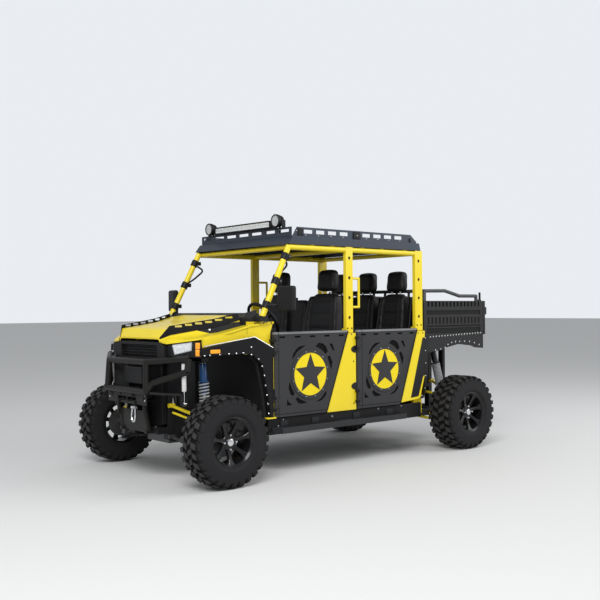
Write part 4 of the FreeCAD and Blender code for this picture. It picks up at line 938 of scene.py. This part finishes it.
dressed("dashboard", black_plastic, 9)
screen_glass = finish("dark_screen", "lamp_plastic", (0.006, 0.007, 0.009), 0.08, 200, 0.0, 0.05,
                      coat_weight=0.8)
gauge_place, gauge_axis = (-672, 345, 1210), (-1, 0, 0.25)
gauge_hood = [(-6, 0), (-6, 60), (14, 70), (34, 66), (36, 58), (20, 54), (16, 0)]
vent = [(0, 0), (0, 34), (10, 34), (12, 30), (8, 26), (4, 0)]
grab_line = [(-690, -440, 1110), (-735, -440, 1110), (-735, -220, 1110), (-690, -220, 1110)]
panel_parts = [turned(gauge_hood, gauge_place, gauge_axis, 36)]
panel_parts += [turned(vent, (-692, y, 1170), (-1, 0, 0.1), 24) for y in (-470, -180, 160, 500)]
panel_parts.append(along(bent(grab_line, 24), 10, 12))
panel_parts.append(box((-700, -92, 1085), (-716, 92, 1205), 5))
panel_parts += [box((-690, y, 1048), (-704, y + 18, 1074), 2) for y in range(60, -71, -26)]
panel_parts.append(along([(-560, 90, 1000), (-600, 90, 960), (-640, 90, 800), (-660, 90, 700)], 14, 12))
piece("panel_fittings", panel_parts, black_plastic)
dials = [turned([(15, 0), (15, 52), (18, 52), (19, 0)], gauge_place, gauge_axis, 36),
         box((-715, -80, 1095), (-718, 80, 1195), 1)]
piece("panel_glass", dials, screen_glass)
wheel_centre, wheel_axis, wheel_radius = np.array((-754.9, 345, 1275.9)), np.array((-0.82, 0, 0.572)), 165
wheel_across = np.array((0, 1.0, 0))
wheel_up = np.cross(wheel_across, wheel_axis)
turn = np.linspace(0, 2 * np.pi, 72, endpoint=False)
rim_line = np.cos(turn)[:, None] * wheel_across + np.sin(turn)[:, None] * wheel_up
rim_line = wheel_centre + wheel_radius * rim_line
horn_pad = [(-22, 0), (-22, 26), (-4, 40), (8, 44), (14, 38), (16, 0)]
wheel_parts = [along(rim_line, 13.4 + 1.4 * np.cos(2 * turn) ** 2, 14, closed=True),
               turned(horn_pad, wheel_centre, wheel_axis, 32)]
for angle in (0.3, math.pi - 0.3, -math.pi / 2):
    way = math.cos(angle) * wheel_across + math.sin(angle) * wheel_up
    beside = np.cross(wheel_axis, way)
    rings = []
    for reach, wide, thick in ((30, 22, 5), (80, 15, 4), (130, 12, 4), (160, 14, 5)):
        middle = wheel_centre + way * reach
        corners = ((1, 1), (-1, 1), (-1, -1), (1, -1))
        rings.append([middle + beside * wide * u + wheel_axis * thick * v for u, v in corners])
    wheel_parts.append(lofted(rings))
piece("steering_wheel_padded", wheel_parts, seat_vinyl, "steering_wheel", 40, ("steering_wheel",),
      slot="black_plastic")


# Hood: one pressed and painted lid with a folded edge on both sides and a raised panel along
# the middle, hinged at the cowl, with slotted rails bolted along its folds.
# columns: station, half width and height of the crown, of the fold, and of the lower edge
hood_rows = np.array([(264, 250, 1146, 313, 1143, 330, 1118),
                      (212, 270, 1216, 386, 1212, 400, 1145),
                      (-150, 300, 1270, 470, 1252, 505, 1180),
                      (-358, 320, 1318, 530, 1300, 560, 1232)], float)


def hood_rings(stations=56, across=72):
    """Hood section at each station: the folded line interpolated between the rows, its corners
    rounded by averaging neighbours, a raised panel added, and the same line below it inside."""
    x = np.concatenate([np.linspace(264, 212, 12), np.linspace(204, -358, stations - 12)])
    rows = [np.interp(-x, -hood_rows[:, 0], hood_rows[:, k])[:, None] for k in range(1, 7)]
    crown_y, crown_z, fold_y, fold_z, low_y, low_z = rows
    knots = np.array((0, 0.10, 0.30, 0.70, 0.90, 1.0))
    y = np.concatenate([-low_y, -fold_y, -crown_y, crown_y, fold_y, low_y], 1)
    z = np.concatenate([low_z, fold_z, crown_z, crown_z, fold_z, low_z], 1)
    v = np.linspace(0, 1, across)
    y = np.array([np.interp(v, knots, row) for row in y])
    z = np.array([np.interp(v, knots, row) for row in z])
    for _ in range(2):
        y[:, 1:-1] = (y[:, :-2] + 2 * y[:, 1:-1] + y[:, 2:]) / 4
        z[:, 1:-1] = (z[:, :-2] + 2 * z[:, 1:-1] + z[:, 2:]) / 4
        z[1:-1] = (z[:-2] + 2 * z[1:-1] + z[2:]) / 4
    side = np.clip((190 - np.abs(y)) / 26, 0, 1)
    ends = np.clip((190 - x) / 50, 0, 1) * np.clip((x + 345) / 40, 0, 1)
    z += 6 * (side * side * (3 - 2 * side)) * ends[:, None]
    top = np.stack([x[:, None] + 0 * y, y, z], -1)
    under = top[:, ::-1] * (1, 0.975, 1) - (0, 0, 13)
    return np.concatenate([top, under], 1)


def hood_painted_shade(x, y, z):
    """Painted shade: a dark wedge between the rail and the fold on each side, where the gap to the fender
    lies in shade.
    """
    # painted shade in the gap between the hood's fold and the fender
    return [((z + 0.11 * x < 1227) * (z - 0.25 * x > 1200) * (abs(y) > 392), (0.008, 0.008, 0.008), 0.6)]


hood_parts = [lofted(hood_rings())]
for y in (-250, 250):
    hood_parts.append(disc(-30, 30, 11, (-360, y, 1280), (0, 1, 0), 20))
    hood_parts.append(box((-358, y - 30, 1280), (-348, y + 30, 1304), 2))
piece("hood_lid", hood_parts, yellow_finish("hood_paint", hood_painted_shade), "hood", 24, ("hood",))
pair("hood_latches", fixed_by([(-105, 475, 1203)], 12, 9, (0, 1, 0.45), 16), bright_steel, "hood")
dressed("hood_rails", matt_black, 0.8)


# Nose: a moulded black surround with a barred mouth, three small vents over it, and lamp
# housings swept back round the corners with faceted reflectors and amber turn lamps.
dressed("front_fascia", black_plastic, 2)
vents = [box((268, y - 34, 1094), (270.8, y + 34, 1103), 0.5) for y in (-204, -36, 108)]
piece("nose_vents", vents, black_steel, slot="black_plastic")
mesh_pitch, wire = 13, 3.2
mesh_bars = [box((241, -288, z), (244, 288, z + wire), 0.8) for z in np.arange(992, 1084, mesh_pitch)]
mesh_bars += [box((240, y, 986), (243, y + wire, 1084), 0.8) for y in np.arange(-286, 288, mesh_pitch)]
mesh_bars.append(box((231, -296, 980), (234, 296, 1090), 0.5))
piece("grille_mesh", mesh_bars, black_steel, slot="black_plastic")
dressed("headlamps", black_plastic, 3)
amber_lens = finish("amber_lens", "lamp_plastic", (0.95, 0.36, 0.02), 0.16, 300, 0.05, 0.08, coat_weight=0.6,
                    emission_color=(1.0, 0.35, 0.02, 1), emission_strength=0.12)
swept, outwards = np.array((-1, 1, 0)) / math.sqrt(2), np.array((1, 1, 0)) / math.sqrt(2)
lamp_corner = np.array((250, 470, 0))


def on_corner(corners, front, back, rows=10, columns=6):
    """Plate on the swept corner: a grid blended between four (distance, height) corners, its front
    raised by front(u, v) millimetres and its back flat."""
    a, b, c, d = np.array(corners, float)
    u, v = np.linspace(0, 1, rows)[:, None, None], np.linspace(0, 1, columns)[:, None]
    flat = (a * (1 - u) + b * u) * (1 - v) + (d * (1 - u) + c * u) * v
    flat = lamp_corner + flat[..., :1] * swept + flat[..., 1:] * np.array((0, 0, 1.0))
    face = flat + front(u[..., 0], v[None, :, 0])[..., None] * outwards
    rear = flat + back * outwards
    return lofted(np.concatenate([face, rear[:, ::-1]], 1))


facets = np.random.default_rng(7).uniform(-3.4, 0.6, (10, 6))
lamp_outline = ((14, 1089), (160, 1108), (157, 1052), (30, 1022))
lamp_cup = on_corner(lamp_outline, lambda u, v: 3.4 + facets, 0.6)
pair("headlamp_reflectors", [lamp_cup], reflector, crease=5)
cover_outline = ((8, 1094), (166, 1114), (163, 1046), (26, 1015))
cover = on_corner(cover_outline, lambda u, v: 4.6 + 22 * u * (1 - u) * v * (1 - v) * 4, 4.2)
pair("headlamp_covers", [cover], clear_lens)
turn_cells = [on_corner(((192, z + 50), (228, z + 50), (228, z), (192, z)),
                        lambda u, v: 1 + 16 * np.sqrt(np.clip(u * (1 - u) * v * (1 - v), 0, 1)), 0.2)
              for z in (1004, 1058)]
pair("turn_lamps", turn_cells, amber_lens)


# Bumper: bent and welded steel tube round a winch plate, powder coated dark bronze and held to
# the horns by round stays, with one plated shackle and a rope winch behind the plate.
bronze = finish("bronze_powder_coat", "bronze_steel", (0.014, 0.013, 0.012), 0.4, 850, 0.2, 0.12,
                metallic=0.2)
dressed("front_bumper", bronze, 1.5)
guard_bolts = [(380, y, z) for y in (-286, 286) for z in (650, 690)]
piece("guard_bolts", fixed_by(guard_bolts, 8, 6, (1, 0, 0), 6), satin_steel)
fairlead = [box((379.8, -120, 670), (387, 120, 700), 3)]
fairlead += [disc(-1, 6, 9, (387, y, 685), (1, 0, 0), 6) for y in (-96, 96)]
piece("fairlead", fairlead, black_steel, slot="grey_steel")
pair("guard_stays", [along([(372, 318, 716), (300, 400, 708), (198, 549, 706)], 12, 12)], bronze)
drum_x, drum_z, rope_turns = 278, 690, 20
wind = np.linspace(0, rope_turns, rope_turns * 14)
rope_line = np.stack([drum_x + 33 * np.cos(2 * np.pi * wind), -92 + 184 * wind / rope_turns,
                      drum_z + 33 * np.sin(2 * np.pi * wind)], -1)
piece("winch_rope", [along(rope_line, 4.6, 7)], grey_coil)
winch_parts = [disc(-100, 100, 29, (drum_x, 0, drum_z), (0, 1, 0), 28)]
for s in (1, -1):
    flange = [(96, 0), (96, 42), (102, 42), (106, 36), (150, 36), (154, 40), (172, 40), (178, 34), (179, 0)]
    winch_parts.append(turned(np.array(flange) * (s, 1), (drum_x, 0, drum_z), (0, 1, 0), 32))
    winch_parts.append(box((drum_x - 48, s * 104, 642), (drum_x + 48, s * 148, 662), 4))
winch_parts.append(box((drum_x - 45, -178, 628), (drum_x + 91, 178, 641), 3))
winch_parts.append(box((268, -159, 768), (318, 129, 904), 7))
winch_parts += [box((268, y - 14, 736), (288, y + 14, 772), 2) for y in (-140, 112)]
winch_parts += [along([(x, -104, 734), (x, 104, 734)], 6, 10) for x in (drum_x - 36, drum_x + 36)]
piece("winch_assembly", winch_parts, black_steel, stands_for=("winch",), slot="cast_metal")
shackle_y, pin_place = 130, (388, 130, 590)
pin = [(-32, 0), (-32, 7), (-25, 7), (-25, 9.5), (25, 9.5), (25, 7), (34, 7), (34, 11), (38, 11), (38, 0)]
shackle = [turned(pin, pin_place, (0, 1, 0), 16)]
shackle += [disc(-8, 8, 14, (388, shackle_y + side, 590), (0, 1, 0), 20) for side in (22, -22)]
bow = [(388, -22, 590), (390, -24, 560), (392, -30, 520), (393, -18, 486), (394, 0, 476)]
bow += [(x, -side, z) for x, side, z in bow[3::-1]]
shackle.append(along(bent(np.array(bow) + (0, shackle_y, 0), 16, 3), 8, 10))
piece("bow_shackles", shackle, bright_steel)


# Flares: pressed plates over the front wheels with a rolled lip, riveted along the arch, each with a small
# amber side marker. A bright steel tube along the lip is a painted highlight on that edge.
dressed("front_flares", matt_black, 2.5)
flare_face = 742
arch_rivets = [(120, 1012), (71, 1014), (-22, 1016), (-108, 1018), (-180, 1019), (-249, 1020), (-328, 1064),
               (-328, 1004), (-400, 965), (-436, 906), (-458, 830), (-469, 749), (-482, 671), (-492, 598),
               (-500, 520)]
pair("flare_rivets", fixed_by([(x, flare_face, z) for x, z in arch_rivets], 7, 5), bright_steel)
pair("side_markers", [box((70, flare_face, 1026), (-22, 751, 1056), 4)], amber_lens)
pair("side_marker_bases", [box((74, flare_face, 1022), (-26, 744.5, 1060), 1)], black_plastic)
# a bright tube along the flare's top edge: a painted highlight
flare_highlight_line = bent([(124, 741, 1078), (124, 741, 1083), (-361, 741, 1145.5), (-548, 741, 1053)], 14)
pair("flare_edge_highlights", [along(flare_highlight_line, 3.6, 8)], bright_steel, slot="charcoal_plate")


# Doors: flat laser-cut plates under a round top rail. Each has a yellow disc behind a plate
# star, in a bolted ring, with pressed hollows round it, and swings on two barrel hinges.
disc_z, frame_top, frame_bottom, door_bottom = 815, 1160, 500, 476
# columns: front edge, distance of the fold behind it, top of the rear edge, how far forward that
# edge comes as it falls to the bottom, middle of the disc
door_sizes = {"front": (-578, 45, -1409.4, 254, -964.6), "rear": (-1518.4, 60, -2310, 235, -1861.9)}


def door_layers(x, y, z):
    """Yellow discs, hollows whose floors are painted black as shade, a paler top rail, fold lines painted
    dark as shade in the creases, and painted shadow along the gap at the rear edge.
    """
    fold_shade, gloss = (0.010, 0.010, 0.010), 0.6
    side = abs(y)
    rows = []
    for _, _, _, _, centre in door_sizes.values():
        across, above = x - centre, z - disc_z
        near = (across * across + above * above) < 180.6 ** 2
        rows.append((near * (side > 722.5) * (side < 726.3), yellow, 0.32))
    # painted shade: the floors of the hollows near black
    hollow_shade = (side > 713.2) * (side < 714.8) * (z > frame_bottom) * (z < 1142)
    rows.append((hollow_shade, (0.003, 0.003, 0.003), 0.8))
    rows.append((z > 1158, (0.17, 0.17, 0.175), 0.34))
    # painted shade along each fold, and painted shadow in the gap along the slanted rear edge
    for front_x, fold, back_x, lean, _ in door_sizes.values():
        edge = x - back_x - lean / (frame_top - door_bottom) * (frame_top - z)
        rows.append((abs(x - (front_x - fold)) < 3.5, fold_shade, gloss))
        rows.append((abs(edge - 5) < 7, (0.006, 0.006, 0.006), gloss))
    # painted shade along the crease at the bottom of the frame
    rows.append((abs(z - frame_bottom) < 3, fold_shade, gloss))
    return rows


door_plate = finish("door_plate", "charcoal_plate", (0.040, 0.040, 0.042), 0.47, 900, 0.16, 0.1, door_layers,
                    sheen=0.12)
for door_name, (front_x, _, back_x, lean, centre) in door_sizes.items():
    for side_name, s in (("left", 1), ("right", -1)):
        node = "door_" + door_name + "_" + side_name
        body = frame["nodes"][node]["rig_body"]
        dressed(node, door_plate, 0.7)
        ring = [(centre + 195 * math.cos(a), s * 728, disc_z + 195 * math.sin(a))
                for a in np.radians(np.arange(12) * 30 + 15)]
        piece(node + "_ring_bolts", fixed_by(ring, 5.5, 4, (0, s, 0)), satin_steel, body)
        hinge_places = [(front_x - 30, s * 735, z) for z in (1042, 1078, 572, 608)]
        piece(node + "_hinge_bolts", fixed_by(hinge_places, 5.5, 4, (0, s, 0), 6), black_steel, body)
        seal = along([(back_x - 1 + 0.004 * lean, s * 707, 1138), (back_x + lean - 3, s * 707, 482)], 4.5, 8)
        latch = [box((back_x + 40, s * 692, 1060), (back_x + 130, s * 676, 1120), 5),
                 box((back_x + 60, s * 676, 1076), (back_x + 120, s * 668, 1104), 3)]
        pull_line = [(centre + 120, s * 690, 1085), (centre + 120, s * 662, 1085),
                     (centre - 60, s * 662, 1085), (centre - 60, s * 690, 1085)]
        pull = along(bent(pull_line, 18), 8, 10)
        liner = box((front_x - 60, s * 692, 520), (back_x + lean + 20, s * 688, 1040), 1.5)
        piece(node + "_trim", [seal, pull, liner] + latch, black_plastic, body)
dressed("door_hinges", black_steel, 1)


# Side panels: yellow pressings between and behind the doors, with screws, and at the rear a black sheet
# painted in as the shade seen through the panel's open centre, and an edge strip in front of the front door.
dressed("side_panels", yellow_paint)


def plate(outline, low_y, high_y):
    """Flat plate: an outline of (x, z) points carried straight across from low_y to high_y."""
    outline = np.array(outline, float)
    rings = [np.stack([outline[:, 0], 0 * outline[:, 0] + y, outline[:, 1]], -1) for y in (low_y, high_y)]
    return lofted(rings)


def upright(front, back, low, high):
    """Outline of a rectangle between two stations and two heights."""
    return [(back, low), (front, low), (front, high), (back, high)]


# painted shade: a black sheet filling the open centre of the rear panel
open_centre_outline = [(-2392, 1086), (-2221, 523), (-2328, 531), (-2394, 712), (-2414.4, 730), (-2423, 1086)]
pair("rear_open_centre_shades", [plate(open_centre_outline, 712, 715.4)], black_plastic)
bulge = np.radians(np.linspace(-90, 90, 15))
for boss_name, boss_z in (("upper", 1007), ("lower", 680)):
    boss = plate(np.stack([62 * np.cos(bulge) - 1513, 33 * np.sin(bulge) + boss_z], -1), 713.5, 719)
    pair("panel_boss_" + boss_name, [boss], black_plastic)
dressed("splash_panels", black_plastic, 1.5)
splash_rivets = [(-2440, 708, z) for z in (1080, 960, 840, 720)] + [(-2430, 708, 600), (-2416, 708, 520)]
pair("splash_rivets", fixed_by(splash_rivets, 6, 4), bright_steel)
strip = [plate(upright(-568, -576, z_low, z_high), 680.4, 716) for z_low, z_high in ((712, 974), (480, 640))]
strip.append(plate(upright(-484, -576, 474, 485), 700, 743))
pair("front_edge_strips", strip, yellow_paint)
panel_screws = [(x, 714, z)
                for x, z in ((-1458, 1141), (-1480, 900), (-1480, 530), (-2330, 1130), (-2395, 1130))]
pair("panel_screws", fixed_by(panel_screws, 6.5, 3.5), black_steel)


# Steps, mirrors and grab handles: a flat step board with ribbed rubber treads under each side,
# folding mirrors on the front posts' lower clamps, and yellow tube handles on the centre pillars.
step_coat = finish("step_powder_coat", "black_steel", (0.022, 0.024, 0.027), 0.38, 700, 0.15, 0.12)
dressed("side_steps", step_coat, 2)
treads = []
for first, last in ((-640, -1260), (-1420, -2040)):
    treads.append(box((first, 722, 397.8), (last, 790, 400.5), 1))
    treads += [box((x, 728, 400), (x - 8, 784, 403), 0.8) for x in np.arange(first - 12, last, -18)]
pair("step_treads", treads, tyre_rubber, slot="black_plastic")
dressed("mirrors", black_plastic, 0)
mirror_silver = finish("mirror_glass", "grey_steel", (0.85, 0.87, 0.88), 0.03, 200, 0.0, 0.02, metallic=1.0)
glass_points, glass_faces = box((-624.5, 786, 1368), (-626.5, 929, 1537), 0.8)
toe, head_middle = math.radians(13), np.array((-600, 857, 0))
turning = np.array(((math.cos(toe), math.sin(toe), 0), (-math.sin(toe), math.cos(toe), 0), (0, 0, 1)))
pair("mirror_glass", [((glass_points - head_middle) @ turning + head_middle, glass_faces)], mirror_silver)
dressed("grab_handles", yellow_paint, 0)


# Cargo bed: textured black moulded walls with pressed recesses and slots, riveted to a steel
# floor and skirts, a tube rail round the top, and a drop tailgate with paddle latches.
def bed_layers(x, y, z):
    """Painted shade on the floors of the pressed recesses in the walls and the gate, and a paler rail round
    the top whose grey is partly its own and partly a painted highlight.
    """
    side = abs(y)
    # painted shade on the floors of the pressed recesses
    sunk_shade = (side > 681.2) * (side < 682.8) * (z > 1112)
    gate_sunk_shade = (x < -3372.2) * (x > -3373.8) * (side < 645) * (z > 1112)
    # the rail's paler grey: partly its own colour, partly a painted highlight
    return [(sunk_shade + gate_sunk_shade, (0.005, 0.005, 0.005), 0.7), (z > 1439, (0.055, 0.055, 0.058), 0.42)]


bed_black = finish("textured_bed_black", "black_plastic", (0.015, 0.015, 0.016), 0.5, 240, 0.8, 0.2,
                   bed_layers)
dressed("cargo_bed", bed_black, 2)
dressed("tailgate", bed_black, 2)
skirt_rivets = [(-2530 - 770 * s, 1087 + 24 * s) for s in np.linspace(0, 1, 19)]
skirt_rivets += [(-2605, 958), (-2680, 966), (-2746, 978), (-2791, 1006), (-2845, 1024), (-2905, 1030),
                 (-2968, 1032), (-3045, 1030), (-3124, 1028), (-3200, 1012), (-3276, 990)]
pair("bed_rivets", fixed_by([(x, cab_side, z) for x, z in skirt_rivets], 8, 5), bright_steel, "cargo_bed")
corner_bracket = [box((-3262, 660, 1437), (-3322, 689, 1452), 3),
                  box((-3300, 668, 1440), (-3318, 686, 1524), 3)]
pair("bed_corner_brackets", corner_bracket, black_steel, "cargo_bed")
tail_lamp = finish("red_lens", "lamp_plastic", (0.55, 0.012, 0.01), 0.18, 300, 0.05, 0.08, coat_weight=0.6)
piece("tail_lamps", [box((-3286, y - 45, 282), (-3296, y + 45, 318), 4) for y in (-200, 200)], tail_lamp)

low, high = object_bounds()
